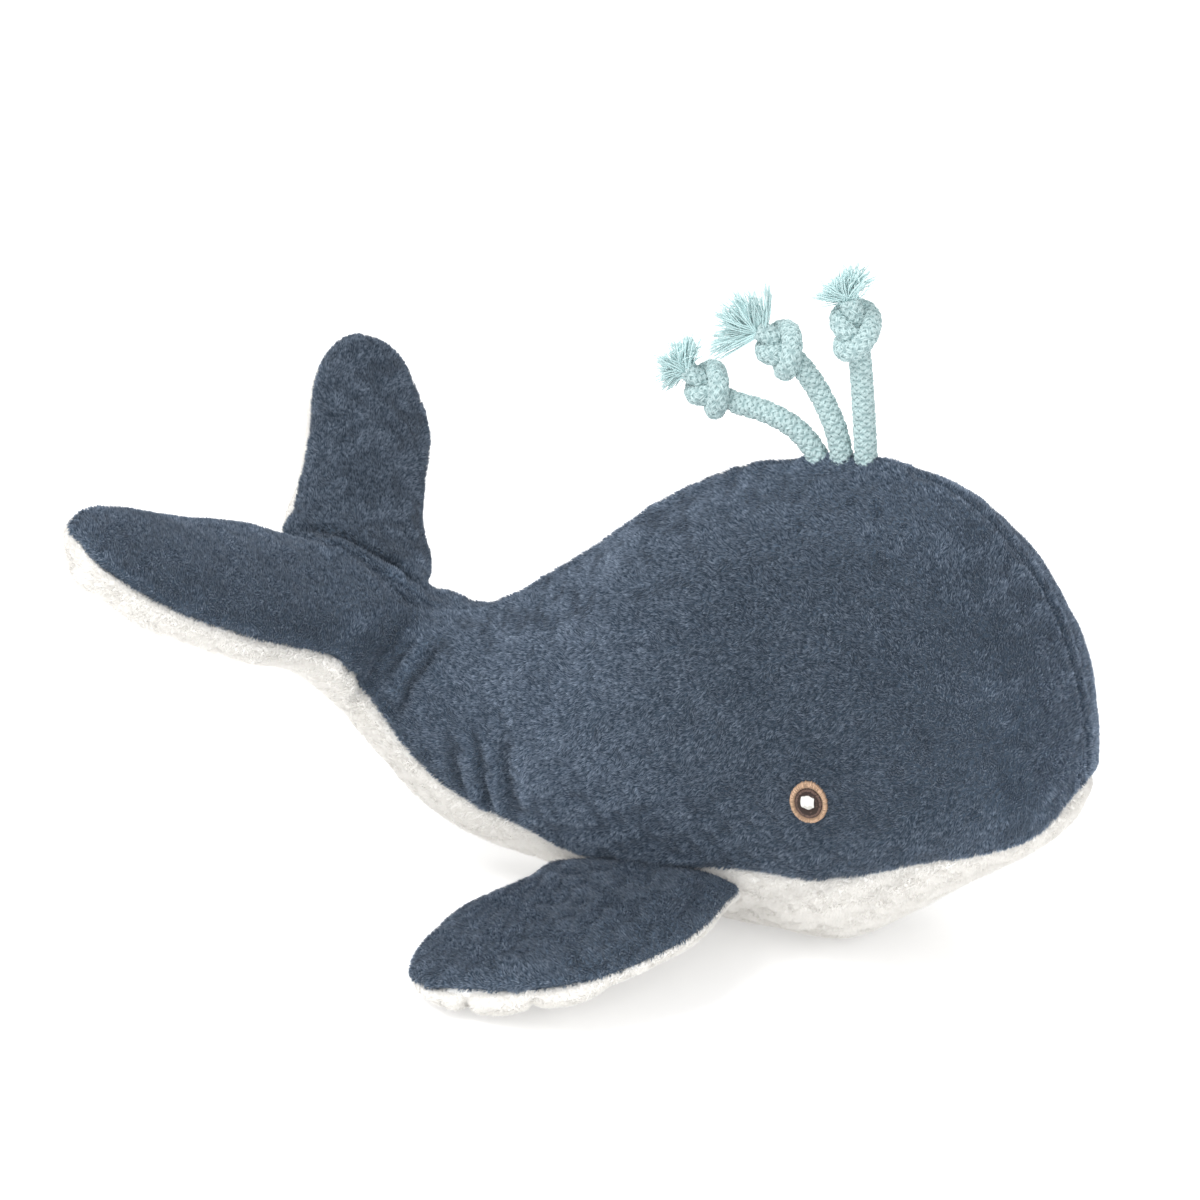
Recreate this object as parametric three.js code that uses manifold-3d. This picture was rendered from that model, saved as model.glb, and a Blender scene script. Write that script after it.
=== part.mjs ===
// Plush whale: plush panels sewn over fibre stuffing, with three knotted cords in the seam on its head.
// Millimetres. +X points to the nose, +Y to the whale's left and +Z up. z = 0 is the flat rest under the belly.
import * as THREE from 'three';
import { mergeVertices } from 'three/addons/utils/BufferGeometryUtils.js';
import Module from 'manifold-3d';

const wasm = await Module();
wasm.setup();

// Fabric, stuffing and clearances
const plushThickness = 2.2;
const seamGap = 0.4;
const innerSeamGap = 2.2;
const stuffingGap = 0.9;
const seatGap = 0.3;
const bendGap = 0.4;
const weldDistance = 1e-4;

// Torso
const bodyLength = 271;
const headHeight = 140;
const headWidth = 100;
const ridgeHeight = 3.5;
const ridgeWidth = 9;

// Tail and flukes
const tailRise = 126;
const flukeSpan = 188;
const flukeChord = 65;
const flukeThickness = 24;
const tailBendRadius = 36;
const flukeBendRadius = 17.2;
const notchClearance = 1.6;
const midlineClearance = 0.6;

// The left fluke is gathered at its root, which makes it narrower than the right one, and its tip is set back.
// The gather grows away from the midline and behind the body, and fades out along the fluke.
const gatherShare = 0.23;
const gatherSetback = 8.2;
const gatherGrowth = 15;
const gatherFade = 45;
const gatherEnd = 95;
const gatherFront = 100;
const gatherFull = 118;
const tipSetback = 2.5;
const tipSetbackStart = 30;
const tipSetbackEnd = 80;

// Flippers
const flipperReach = 64;
const flipperChord = 70;
const flipperThickness = 17;
const flipperRootRadius = 8;

// Embroidered eyes: each size is half of the oval along the body and half of it up the body
const eyeRingLength = 5.3;
const eyeRingHeight = 6.1;
const irisLength = 3.9;
const irisHeight = 4.6;
const highlightLength = 1.9;
const highlightHeight = 2.1;
const threadGap = 0.3;
const embroideryHeight = 0.9;
const embroideryEdgeShare = 0.7;

// Braided cords, their knots and their frayed ends
const cordDiameter = 5.8;
const cordSeamDepth = 4.5;
const knotCordDiameter = 3.6;
const knotTurnSize = 4.1;
const tuftRadius = 1.9;
const tuftLength = 4;
const yarnThickness = 1.1;
const yarnBow = 0.6;

// Torso stations from the nose to the root of the tail: place along bodyLength; height of the widest line, rise
// above it and drop below it, of headHeight; half width, of headWidth; ridge, of ridgeHeight; then the angle of
// the side seam, counted from the top, and the lean of the section, in degrees.
const torsoShares = [
  [0.313, 0.400, 0.000, 0.000, 0.000, 0.00, 95, 0],
  [0.310, 0.411, 0.086, 0.060, 0.125, 0.23, 114, 0],
  [0.301, 0.426, 0.156, 0.109, 0.225, 0.40, 121, 0],
  [0.281, 0.440, 0.260, 0.161, 0.318, 0.57, 127, 0],
  [0.249, 0.450, 0.362, 0.218, 0.396, 0.71, 127, 0],
  [0.205, 0.456, 0.446, 0.286, 0.455, 0.86, 124, 0],
  [0.148, 0.457, 0.514, 0.368, 0.490, 0.94, 121, 0],
  [0.074, 0.457, 0.539, 0.459, 0.502, 1.00, 120, 0],
  [-0.007, 0.454, 0.532, 0.4595, 0.505, 1.00, 120, 0],
  [-0.089, 0.443, 0.496, 0.4485, 0.488, 1.00, 124, 0],
  [-0.162, 0.425, 0.432, 0.4305, 0.446, 1.00, 129, 0],
  [-0.229, 0.407, 0.346, 0.386, 0.392, 0.94, 132, 0],
  [-0.288, 0.393, 0.279, 0.350, 0.340, 0.86, 129, 0],
  [-0.339, 0.382, 0.236, 0.325, 0.300, 0.74, 124, 6],
  [-0.384, 0.382, 0.207, 0.285, 0.270, 0.63, 118, 14],
  [-0.421, 0.400, 0.182, 0.245, 0.250, 0.43, 110, 22],
];

// Tail stations from the peduncle to the tip of a fluke: place along bodyLength; distance from the midline, of
// flukeSpan; height, of tailRise; rise and drop, of flukeThickness; half chord, of flukeChord; ridge, of
// ridgeHeight; then the angle of the side seam, the lean, the sweep and the roll of the section, in degrees.
const tailShares = [
  [-0.463, 0.000, 0.494, 0.792, 1.150, 0.385, 0.23, 100, 28, 0, 0.0],
  [-0.489, 0.027, 0.552, 0.670, 1.000, 0.415, 0.09, 93, 31, 16, 2.0],
  [-0.520, 0.059, 0.611, 0.590, 0.880, 0.462, 0.00, 90, 32, 29, 4.0],
  [-0.550, 0.112, 0.660, 0.510, 0.780, 0.435, 0.00, 88, 32, 42, 6.0],
  [-0.584, 0.191, 0.727, 0.480, 0.750, 0.466, 0.00, 88, 32, 38, 6.5],
  [-0.611, 0.290, 0.797, 0.440, 0.720, 0.422, 0.00, 88, 32, 38, 7.0],
  [-0.635, 0.372, 0.862, 0.390, 0.660, 0.365, 0.00, 88, 32, 40, 7.0],
  [-0.656, 0.431, 0.918, 0.330, 0.580, 0.295, 0.00, 88, 32, 38, 7.0],
  [-0.673, 0.480, 0.966, 0.250, 0.440, 0.190, 0.00, 88, 32, 35, 7.0],
  [-0.681, 0.505, 0.994, 0.000, 0.000, 0.000, 0.00, 88, 32, 42, 7.0],
];

// Flipper stations from the root to the tip: place along flipperReach; front edge and rear edge, of
// flipperChord; rise and drop, of flipperThickness.
const flipperShares = [
  [-0.13, 0.500, -0.500, 0.43, 0.43],
  [0.00, 0.510, -0.520, 0.43, 0.46],
  [0.14, 0.525, -0.580, 0.44, 0.53],
  [0.32, 0.525, -0.630, 0.45, 0.58],
  [0.50, 0.475, -0.638, 0.45, 0.58],
  [0.68, 0.385, -0.618, 0.42, 0.55],
  [0.85, 0.220, -0.550, 0.37, 0.49],
  [0.95, -0.030, -0.465, 0.29, 0.38],
  [1.00, -0.330, -0.330, 0.00, 0.00],
];

// Places where pieces start, end or sit, as shares of the run of stations from the nose to the tip of a fluke
const placeShares = {
  noseStart: 0.006,
  coreStart: 0.012,
  noseDetail: 0.16,
  eye: 0.28,
  flipperFront: 0.32,
  flipperMiddle: 0.382,
  flipperRear: 0.44,
  tailSkinStart: 0.44,
  tailBend: 0.56,
  tailDetail: 0.6,
  bellyEnd: 0.64,
  flukeSkinStart: 0.66,
  tailCoreEnd: 0.744,
  flukeBend: 0.76,
  innerTurn: 0.88,
  flukeOuter: 0.96,
  flukeCoreEnd: 0.974,
  innerTip: 0.978,
};
const eyeDegrees = 94;
const flipperDroopDegrees = 7.6;
const halfStationShare = 0.5;
const leastRowShare = 0.2;
const probeShare = 0.02;
const widestGapShare = 0.4;

const radians = THREE.MathUtils.degToRad;

const stations = [
  ...torsoShares.map(([x, z, rise, drop, half, ridge, seam, lean]) => [
    x * bodyLength, 0, z * headHeight, rise * headHeight, drop * headHeight, half * headWidth,
    ridge * ridgeHeight, seam, lean, 0, 0,
  ]),
  ...tailShares.map(([x, y, z, rise, drop, half, ridge, seam, lean, sweep, roll]) => [
    x * bodyLength, y * flukeSpan, z * tailRise, rise * flukeThickness, drop * flukeThickness,
    half * flukeChord, ridge * ridgeHeight, seam, lean, sweep, roll,
  ]),
];

const lastStation = stations.length - 1;
const place = Object.fromEntries(Object.entries(placeShares).map(([name, share]) => [name, share * lastStation]));

const flipperStations = flipperShares.map(([out, front, rear, rise, drop]) => [
  out * flipperReach, front * flipperChord, rear * flipperChord, rise * flipperThickness, drop * flipperThickness,
]);

// Values between stations follow a Catmull-Rom spline. Past a pole the sizes named in mirrored change sign.
function between(rows, s, mirrored) {
  const last = rows.length - 1;
  const at = (i) => {
    if (i >= 0 && i <= last) return rows[i];
    const end = i < 0 ? rows[0] : rows[last];
    const next = i < 0 ? rows[1] : rows[last - 1];
    const pole = end[mirrored[0]] === 0;
    return end.map((value, k) => {
      if (!pole) return 2 * value - next[k];
      return mirrored.includes(k) ? -next[k] : next[k];
    });
  };
  const i = Math.min(Math.max(Math.floor(s), 0), last - 1);
  const t = s - i;
  const [a, b, c, d] = [at(i - 1), at(i), at(i + 1), at(i + 2)];
  return b.map((value, k) => 0.5 * (2 * value + (c[k] - a[k]) * t
    + (2 * a[k] - 5 * value + 4 * c[k] - d[k]) * t * t
    + (3 * value - a[k] - 3 * c[k] + d[k]) * t * t * t));
}

// The frame of a section of the right half, with y counted outwards from the midline
function sectionAt(s) {
  const [x, y, z, rise, drop, half, ridge, seam, lean, sweep, roll] = between(stations, s, [5, 3, 4, 6]);
  const aft = new THREE.Vector3(-Math.cos(radians(lean)), 0, Math.sin(radians(lean)));
  const up = new THREE.Vector3(Math.sin(radians(lean)), 0, Math.cos(radians(lean)));
  const side = new THREE.Vector3(0, 1, 0);
  const out = side.clone().multiplyScalar(Math.cos(radians(sweep))).addScaledVector(aft, -Math.sin(radians(sweep)));
  const along = aft.clone().multiplyScalar(Math.cos(radians(sweep))).addScaledVector(side, Math.sin(radians(sweep)));
  return {
    centre: new THREE.Vector3(x, y, z),
    aft,
    out: out.clone().multiplyScalar(Math.cos(radians(roll))).addScaledVector(up, Math.sin(radians(roll))),
    up: up.multiplyScalar(Math.cos(radians(roll))).addScaledVector(out, -Math.sin(radians(roll))),
    along,
    rise: Math.max(rise, 0),
    drop: Math.max(drop, 0),
    half: Math.max(half, 0),
    ridge,
    seam: radians(seam),
    start: -Math.asin(Math.min(1, y / Math.max(half * Math.cos(radians(sweep)) * Math.cos(radians(roll)), 1e-6))),
  };
}

// A point of the outer skin: an oval section with a seam ridge along the top
function outerPoint(s, angle) {
  const section = sectionAt(s);
  const height = Math.cos(angle) * (Math.cos(angle) > 0 ? section.rise : section.drop);
  const point = section.centre.clone()
    .addScaledVector(section.out, section.half * Math.sin(angle))
    .addScaledVector(section.up, height);
  if (Math.cos(angle) > 0) {
    point.addScaledVector(section.up, section.ridge * Math.exp(-Math.abs(point.y) / ridgeWidth));
  }
  return point;
}

function outerNormal(s, angle) {
  const t = Math.min(Math.max(s, 1.5 * probeShare), lastStation - 1.5 * probeShare);
  const turn = angle > Math.PI / 2 ? -probeShare : probeShare;
  const along = outerPoint(t + probeShare, angle).sub(outerPoint(t - probeShare, angle));
  const around = outerPoint(t, angle + turn).sub(outerPoint(t, angle));
  const normal = along.cross(around).normalize();
  const outward = outerPoint(t, angle).sub(sectionAt(t).centre);
  return normal.dot(outward) < 0 ? normal.negate() : normal;
}

const gatherRoot = sectionAt(place.flukeBend);
const gatherOuter = sectionAt(place.flukeOuter);

// A point of the left half drawn towards a line along the fluke
function gathered(point) {
  const { smoothstep } = THREE.MathUtils;
  const { aft, centre } = gatherRoot;
  const reach = (point.y - centre.y) / (gatherOuter.centre.y - centre.y);
  const line = centre.clone().lerp(gatherOuter.centre, reach).addScaledVector(aft, gatherSetback);
  const weight = smoothstep(point.y, 0, gatherGrowth)
    * (1 - smoothstep(point.y, gatherFade, gatherEnd))
    * smoothstep(-point.x, gatherFront, gatherFull);
  const inwards = gatherShare * weight * point.clone().sub(line).dot(aft);
  const back = tipSetback * smoothstep(point.y, tipSetbackStart, tipSetbackEnd);
  return point.addScaledVector(aft, back - inwards);
}

// The skin surface pushed inwards by depth, kept off the midline by clear
function skinPoint(s, angle, depth, side, clear) {
  const point = outerPoint(s, angle);
  if (depth !== 0) point.addScaledVector(outerNormal(s, angle), -depth);
  point.y = Math.max(point.y, clear);
  if (side > 0) gathered(point);
  point.y *= side;
  return point;
}

// Closed solids from rows of ring points: quads between the rows and a ladder of quads over each end
function loftRings(rings, pairs) {
  const count = rings[0].length;
  const positions = rings.flat().flatMap((p) => [p.x, p.y, p.z]);
  const faces = [];
  for (let i = 0; i < rings.length - 1; i += 1) {
    for (let j = 0; j < count; j += 1) {
      const k = (j + 1) % count;
      const [a, b, c, d] = [i * count + j, i * count + k, (i + 1) * count + k, (i + 1) * count + j];
      faces.push([a, b, c], [a, c, d]);
    }
  }
  const top = (rings.length - 1) * count;
  for (const [a, b, c, d] of pairs) {
    faces.push([a, c, b], [a, d, c]);
    faces.push([top + a, top + b, top + c], [top + a, top + c, top + d]);
  }
  return solidFrom(positions, faces.flat());
}

// A manifold from points and triangles, turned so that its volume is positive
function solidFrom(positions, index) {
  const geometry = new THREE.BufferGeometry();
  geometry.setAttribute('position', new THREE.Float32BufferAttribute(positions, 3));
  geometry.setIndex(index);
  return toManifold(geometry);
}

function toManifold(geometry) {
  const bare = new THREE.BufferGeometry();
  bare.setAttribute('position', geometry.getAttribute('position'));
  if (geometry.index) bare.setIndex(geometry.index);
  const merged = mergeVertices(bare, weldDistance);
  const points = merged.getAttribute('position');
  const triangles = [];
  for (let i = 0; i < merged.index.count; i += 3) {
    const [a, b, c] = [merged.index.getX(i), merged.index.getX(i + 1), merged.index.getX(i + 2)];
    if (a !== b && b !== c && c !== a) triangles.push([a, b, c]);
  }
  let volume = 0;
  const at = (i) => new THREE.Vector3().fromBufferAttribute(points, i);
  for (const [a, b, c] of triangles) volume += at(a).dot(at(b).cross(at(c)));
  const order = volume < 0 ? ([a, b, c]) => [a, c, b] : (abc) => abc;
  return new wasm.Manifold(new wasm.Mesh({
    numProp: 3,
    vertProperties: Float32Array.from(points.array),
    triVerts: Uint32Array.from(triangles.flatMap(order)),
  }));
}

function toGeometry(solid) {
  const mesh = solid.getMesh();
  const geometry = new THREE.BufferGeometry();
  geometry.setAttribute('position', new THREE.BufferAttribute(Float32Array.from(mesh.vertProperties), 3));
  geometry.setIndex(new THREE.BufferAttribute(Uint32Array.from(mesh.triVerts), 1));
  geometry.computeVertexNormals();
  return geometry;
}

// Ladder over a strip ring, which runs out along one face and back along the other
const stripPairs = (columns) => Array.from({ length: columns }, (_, j) => [
  j, j + 1, 2 * columns - j, 2 * columns + 1 - j,
]);

// Rows from one station to another, evenly spaced
function steps(from, to, perStation) {
  const count = Math.ceil((to - from) * perStation);
  return Array.from({ length: count + 1 }, (_, i) => from + ((to - from) * i) / count);
}

// Rows of the body: one to each station along the torso, and two to each at the nose and over the flukes
function bodyRows(from, to) {
  const rows = [from];
  for (let s = 0; s <= lastStation; s += halfStationShare) {
    const fine = Number.isInteger(s) || s < place.noseDetail || s > place.tailDetail;
    if (fine && s > from + leastRowShare && s < to - leastRowShare) rows.push(s);
  }
  return [...rows, to];
}

// The inner face stops short of the tip, so that the fabric closes round it
function innerStation(s) {
  const { innerTurn, innerTip } = place;
  if (s <= innerTurn) return s;
  return innerTurn + ((s - innerTurn) * (innerTip - innerTurn)) / (lastStation - innerTurn);
}

// Angles from the start of a panel to its end, less half of the seam gap at each
function panelAngles(s, from, to, columns, gap) {
  const { half, rise, drop } = sectionAt(s);
  const angles = [from, to].map((angle, i) => {
    const tangent = Math.hypot(half * Math.cos(angle), Math.sin(angle) * (Math.cos(angle) > 0 ? rise : drop));
    const turn = gap / 2 / Math.max(tangent, 2 * gap);
    return i === 0 ? angle + turn : angle - turn;
  });
  return Array.from({ length: columns + 1 }, (_, j) => angles[0] + ((angles[1] - angles[0]) * j) / columns);
}

// One plush panel of one side, between two angle functions
function sidePanel(from, to, columns, side, startOf, endOf) {
  const rings = bodyRows(from, to).map((s) => {
    const inner = innerStation(s);
    const outerAngles = panelAngles(s, startOf(s), endOf(s), columns, seamGap);
    const innerAngles = panelAngles(inner, startOf(inner), endOf(inner), columns, innerSeamGap).reverse();
    return [
      ...outerAngles.map((a) => skinPoint(s, a, 0, side, seamGap / 2)),
      ...innerAngles.map((a) => skinPoint(inner, a, plushThickness, side, seamGap / 2)),
    ];
  });
  return loftRings(rings, stripPairs(columns));
}

const topStart = (s) => sectionAt(s).start;
const seamOf = (s) => sectionAt(s).seam;
const bottomEnd = (s) => Math.PI - sectionAt(s).start;

// The belly panel spans both sides, from seam to seam. An odd number of columns leaves its lowest one level.
function bellyPanel(from, to, columns) {
  const rings = bodyRows(from, to).map((s) => {
    const row = (depth, gap) => {
      const angles = panelAngles(s, seamOf(s), 2 * Math.PI - seamOf(s), columns, gap);
      return angles.map((a) => (a < Math.PI
        ? skinPoint(s, a, depth, -1, 0)
        : skinPoint(s, 2 * Math.PI - a, depth, 1, 0)));
    };
    return [...row(0, seamGap), ...row(plushThickness, innerSeamGap).reverse()];
  });
  return loftRings(rings, stripPairs(columns));
}

// Stuffing fills both sides of a stretch of the body, inside the panels
function stuffing(from, to, columns) {
  const depth = plushThickness + stuffingGap;
  const rings = bodyRows(from, to).map((s) => {
    const [start, end] = [topStart(s), bottomEnd(s)];
    const angles = Array.from({ length: columns + 1 }, (_, j) => start + ((end - start) * j) / columns);
    return [
      ...angles.map((a) => skinPoint(s, a, depth, -1, midlineClearance)),
      ...angles.reverse().map((a) => skinPoint(s, a, depth, 1, midlineClearance)),
    ];
  });
  return loftRings(rings, stripPairs(columns));
}

// Stuffing of one fluke
function flukeStuffing(columns, side) {
  const depth = plushThickness + stuffingGap;
  const rings = steps(place.flukeSkinStart, place.flukeCoreEnd, 2).map((s) => {
    const [start, end] = [topStart(s), bottomEnd(s)];
    return Array.from({ length: columns + 1 }, (_, j) => (
      skinPoint(s, start + ((end - start) * j) / columns, depth, side, notchClearance)
    ));
  });
  const pairs = Array.from({ length: columns / 2 }, (_, j) => [j, j + 1, columns - j - 1, columns - j]);
  return loftRings(rings, pairs);
}

// A bend line: everything past its plane, together with a round of the given radius about its axis
function bendRegion(origin, axis, past, radius, reach) {
  const up = past.clone().cross(axis).normalize();
  const turn = new THREE.Matrix4().makeBasis(past, axis, up);
  const box = new THREE.BoxGeometry(reach, 2 * reach, 2 * reach).translate(reach / 2, 0, 0);
  const round = new THREE.CylinderGeometry(radius, radius, 2 * reach, 48);
  const place = (geometry) => toManifold(geometry.applyMatrix4(turn).translate(origin.x, origin.y, origin.z));
  return place(box).add(place(round));
}

const mirrorY = (v) => new THREE.Vector3(v.x, -v.y, v.z);

// Tail bend: a round about a cross axis through the middle of the peduncle
const tailSection = sectionAt(place.tailBend);
const tailAxis = new THREE.Vector3(0, 1, 0);
const tailBendCentre = tailSection.centre.clone().addScaledVector(
  tailSection.up,
  (tailSection.rise + tailSection.ridge - tailSection.drop) / 2,
);
const tailReach = bodyLength;
const keepTail = bendRegion(tailBendCentre, tailAxis, tailSection.along, tailBendRadius - bendGap / 2, tailReach);
const cutTail = bendRegion(tailBendCentre, tailAxis, tailSection.along, tailBendRadius + bendGap / 2, tailReach);

// Fluke bends: a round about the chord of each fluke, a radius past the notch
const flukeSection = sectionAt(place.flukeBend);
const flukeBendCentre = flukeSection.centre.clone()
  .addScaledVector(flukeSection.along, flukeBendRadius)
  .addScaledVector(flukeSection.up, (flukeSection.rise - flukeSection.drop) / 2);

function flukeRegion(side, radius) {
  const turn = side < 0 ? mirrorY : (v) => v.clone();
  return bendRegion(turn(flukeBendCentre), turn(flukeSection.out), turn(flukeSection.along), radius, bodyLength);
}

const sides = { right: -1, left: 1 };
const keepFluke = {};
const cutFluke = {};
for (const [name, side] of Object.entries(sides)) {
  keepFluke[name] = flukeRegion(side, flukeBendRadius - bendGap / 2);
  cutFluke[name] = flukeRegion(side, flukeBendRadius + bendGap / 2);
}
const cutFlukes = cutFluke.right.add(cutFluke.left);

// Half-space past a plane, as a long box
function pastPlane(origin, normal, reach) {
  const turn = new THREE.Matrix4().makeRotationFromQuaternion(
    new THREE.Quaternion().setFromUnitVectors(new THREE.Vector3(1, 0, 0), normal),
  );
  const box = new THREE.BoxGeometry(reach, 2 * reach, 2 * reach).translate(reach / 2, 0, 0);
  return toManifold(box.applyMatrix4(turn).translate(origin.x, origin.y, origin.z));
}

// Cord routes in the middle plane, from the seam to the knot, with the knot's centre and the tip of the frayed
// end. The lean of the cord at the knot's start and at its end is in degrees, from upright towards the tail.
const cordRoutes = {
  front: {
    route: [[16.9, 142.6], [16.3, 152.0], [15.4, 163.0]],
    knot: [13.2, 180.4],
    lean: [4, 22],
    end: [9.0, 196.0],
    yarns: 13,
  },
  middle: {
    route: [[9.8, 142.2], [7.7, 151.0], [2.6, 161.0]],
    knot: [-9.4, 173.0],
    lean: [41, 68],
    end: [-27.5, 179.5],
    yarns: 14,
  },
  rear: {
    route: [[2.6, 141.8], [-3.6, 149.0], [-12.6, 153.0]],
    knot: [-29.6, 158.2],
    lean: [71, 55],
    end: [-43.5, 168.5],
    yarns: 13,
  },
};

// Yarns start partway up the stub, turn round it by the golden angle, flare outwards and get shorter outwards
const goldenTurn = Math.PI * (3 - Math.sqrt(5));
const tuftShare = 0.6;
const yarnFlare = 0.42;
const yarnLoss = 0.12;

const inPlane = ([x, z]) => new THREE.Vector3(x, 0, z);

// Centreline of an overhand knot along +X, up to its middle: along the cord, up from it and across it, as shares
// of knotTurnSize. A half turn about the up axis carries the first half onto the second.
const knotShares = [
  [-2.05, 0.00, -0.05],
  [-1.30, 0.00, -0.05],
  [-0.50, 0.05, -0.35],
  [0.10, 0.60, -0.55],
  [0.70, 1.05, -0.15],
  [1.10, 0.95, 0.60],
  [1.20, 0.30, 1.15],
  [0.90, -0.50, 1.15],
  [0.45, -0.95, 0.65],
  [0.00, -1.05, 0.00],
];

function knotPath(bend) {
  const first = knotShares.map((shares) => new THREE.Vector3(...shares).multiplyScalar(knotTurnSize));
  const lead = first[1].x - first[0].x;
  first[0].set(first[1].x - lead * Math.cos(bend / 2), lead * Math.sin(bend / 2), first[0].z);
  const second = first.slice(0, -1).reverse().map((p) => new THREE.Vector3(-p.x, p.y, -p.z));
  return [...first, ...second];
}

// Least gap of a tube to itself, measured between points of its centreline more than a turn apart
function leastGap(curve, thickness) {
  const points = curve.getSpacedPoints(240);
  const step = curve.getLength() / 240;
  const apart = Math.ceil((2 * thickness) / step);
  let least = Infinity;
  for (let i = 0; i < points.length; i += 1) {
    for (let j = i + apart; j < points.length; j += 1) least = Math.min(least, points[i].distanceTo(points[j]));
  }
  return least - thickness;
}

function tube(curve, diameter, sidesCount, stepCount) {
  const shape = new THREE.Shape(Array.from({ length: sidesCount }, (_, i) => {
    const turn = (2 * Math.PI * i) / sidesCount;
    return new THREE.Vector2(Math.cos(turn) * (diameter / 2), Math.sin(turn) * (diameter / 2));
  }));
  const geometry = new THREE.ExtrudeGeometry(shape, { steps: stepCount, extrudePath: curve, curveSegments: 1 });
  return toManifold(geometry);
}

// A yarn: a tapering square strand along a bowed line
function yarn(start, direction, bow, length, thickness) {
  const across = new THREE.Vector3(0, 1, 0).cross(direction).normalize();
  if (across.lengthSq() < 0.5) across.set(1, 0, 0);
  const other = direction.clone().cross(across).normalize();
  const rings = [0, 0.5, 1].map((share) => {
    const centre = start.clone().addScaledVector(direction, length * share)
      .addScaledVector(bow, length * share * share);
    const half = (thickness / 2) * (1 - 0.45 * share);
    return [[1, 1], [-1, 1], [-1, -1], [1, -1]].map(([a, b]) => centre.clone()
      .addScaledVector(across, a * half)
      .addScaledVector(other, b * half));
  });
  return loftRings(rings, [[0, 1, 2, 3]]);
}

const plushBlue = () => new THREE.MeshStandardMaterial({ color: 0x56626f, roughness: 0.95, metalness: 0 });
const plushWhite = () => new THREE.MeshStandardMaterial({ color: 0xeeebe5, roughness: 0.95, metalness: 0 });
const fibre = () => new THREE.MeshStandardMaterial({ color: 0xf4f2ee, roughness: 1, metalness: 0 });
const cotton = () => new THREE.MeshStandardMaterial({ color: 0xbcd6d8, roughness: 0.9, metalness: 0 });
const tanThread = () => new THREE.MeshStandardMaterial({ color: 0xc09a7c, roughness: 0.6, metalness: 0 });
const brownThread = () => new THREE.MeshStandardMaterial({ color: 0x4a3a36, roughness: 0.6, metalness: 0 });
const whiteThread = () => new THREE.MeshStandardMaterial({ color: 0xe8e8e4, roughness: 0.6, metalness: 0 });

function addPiece(group, name, solid, material) {
  const mesh = new THREE.Mesh(toGeometry(solid), material);
  mesh.name = name;
  group.add(mesh);
}

const whale = new THREE.Group();
const groups = {};
for (const name of ['body', 'tail', 'right_fluke', 'left_fluke', 'right_flipper', 'left_flipper']) {
  groups[name] = new THREE.Group();
}
groups.tail.add(groups.right_fluke, groups.left_fluke);
groups.body.add(groups.tail, groups.right_flipper, groups.left_flipper);
whale.add(groups.body);

// Cords, knots and frayed ends
const cordHoles = [];
for (const [name, { route, knot, lean, end, yarns }] of Object.entries(cordRoutes)) {
  const base = inPlane(route[0]);
  const root = base.clone().add(new THREE.Vector3(0, 0, -cordSeamDepth));
  const knotCentre = inPlane(knot);
  const mean = radians((lean[0] + lean[1]) / 2);
  const away = new THREE.Vector3(-Math.sin(mean), 0, Math.cos(mean));
  const across = new THREE.Vector3(0, 1, 0);
  const below = away.clone().cross(across).normalize();
  const frame = new THREE.Matrix4().makeBasis(away, below, across.clone());
  const knotPoints = knotPath(radians(lean[1] - lean[0])).map((p) => p.applyMatrix4(frame).add(knotCentre));
  const knotCurve = new THREE.CatmullRomCurve3(knotPoints, false, 'centripetal');
  console.log(`${name} knot: least gap to itself ${leastGap(knotCurve, knotCordDiameter).toFixed(2)} mm`);
  const knotStart = knotPoints[0].clone();
  const arrival = knotPoints[1].clone().sub(knotStart).normalize();
  const cordPoints = [root, ...route.map(inPlane), knotStart.clone().addScaledVector(arrival, -seatGap)];
  const cordCurve = new THREE.CatmullRomCurve3(cordPoints, false, 'centripetal');
  addPiece(groups.body, `${name}_cord`, tube(cordCurve, cordDiameter, 10, 9), cotton());
  addPiece(groups.body, `${name}_knot`, tube(knotCurve, knotCordDiameter, 6, 44), cotton());

  const knotEnd = knotPoints[knotPoints.length - 1];
  const outward = inPlane(end).sub(knotEnd).normalize();
  const side = outward.clone().cross(across);
  const tuftStart = knotEnd.clone().addScaledVector(outward, seatGap);
  const stub = new THREE.CylinderGeometry(tuftRadius, tuftRadius, tuftLength, 10).translate(0, tuftLength / 2, 0);
  const stand = new THREE.Quaternion().setFromUnitVectors(new THREE.Vector3(0, 1, 0), outward);
  let tuft = toManifold(stub.applyQuaternion(stand).translate(tuftStart.x, tuftStart.y, tuftStart.z));
  const yarnLength = inPlane(end).distanceTo(tuftStart) - tuftLength * tuftShare;
  for (let i = 0; i < yarns; i += 1) {
    const turn = i * goldenTurn;
    const spread = Math.sqrt((i + 0.5) / yarns);
    const radial = across.clone().multiplyScalar(Math.cos(turn)).addScaledVector(side, Math.sin(turn));
    const start = tuftStart.clone().addScaledVector(outward, tuftLength * tuftShare)
      .addScaledVector(radial, spread * (tuftRadius - yarnThickness / 2));
    const direction = outward.clone().addScaledVector(radial, yarnFlare * spread).normalize();
    const bow = radial.multiplyScalar(yarnBow * spread);
    tuft = tuft.add(yarn(start, direction, bow, yarnLength * (1 - yarnLoss * spread), yarnThickness));
  }
  addPiece(groups.body, `${name}_frayed_end`, tuft, cotton());

  const hole = new THREE.CylinderGeometry(
    cordDiameter / 2 + seatGap,
    cordDiameter / 2 + seatGap,
    2 * (cordSeamDepth + seatGap),
    20,
  ).rotateX(Math.PI / 2);
  cordHoles.push(toManifold(hole.translate(base.x, base.y, base.z)));
}

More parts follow.
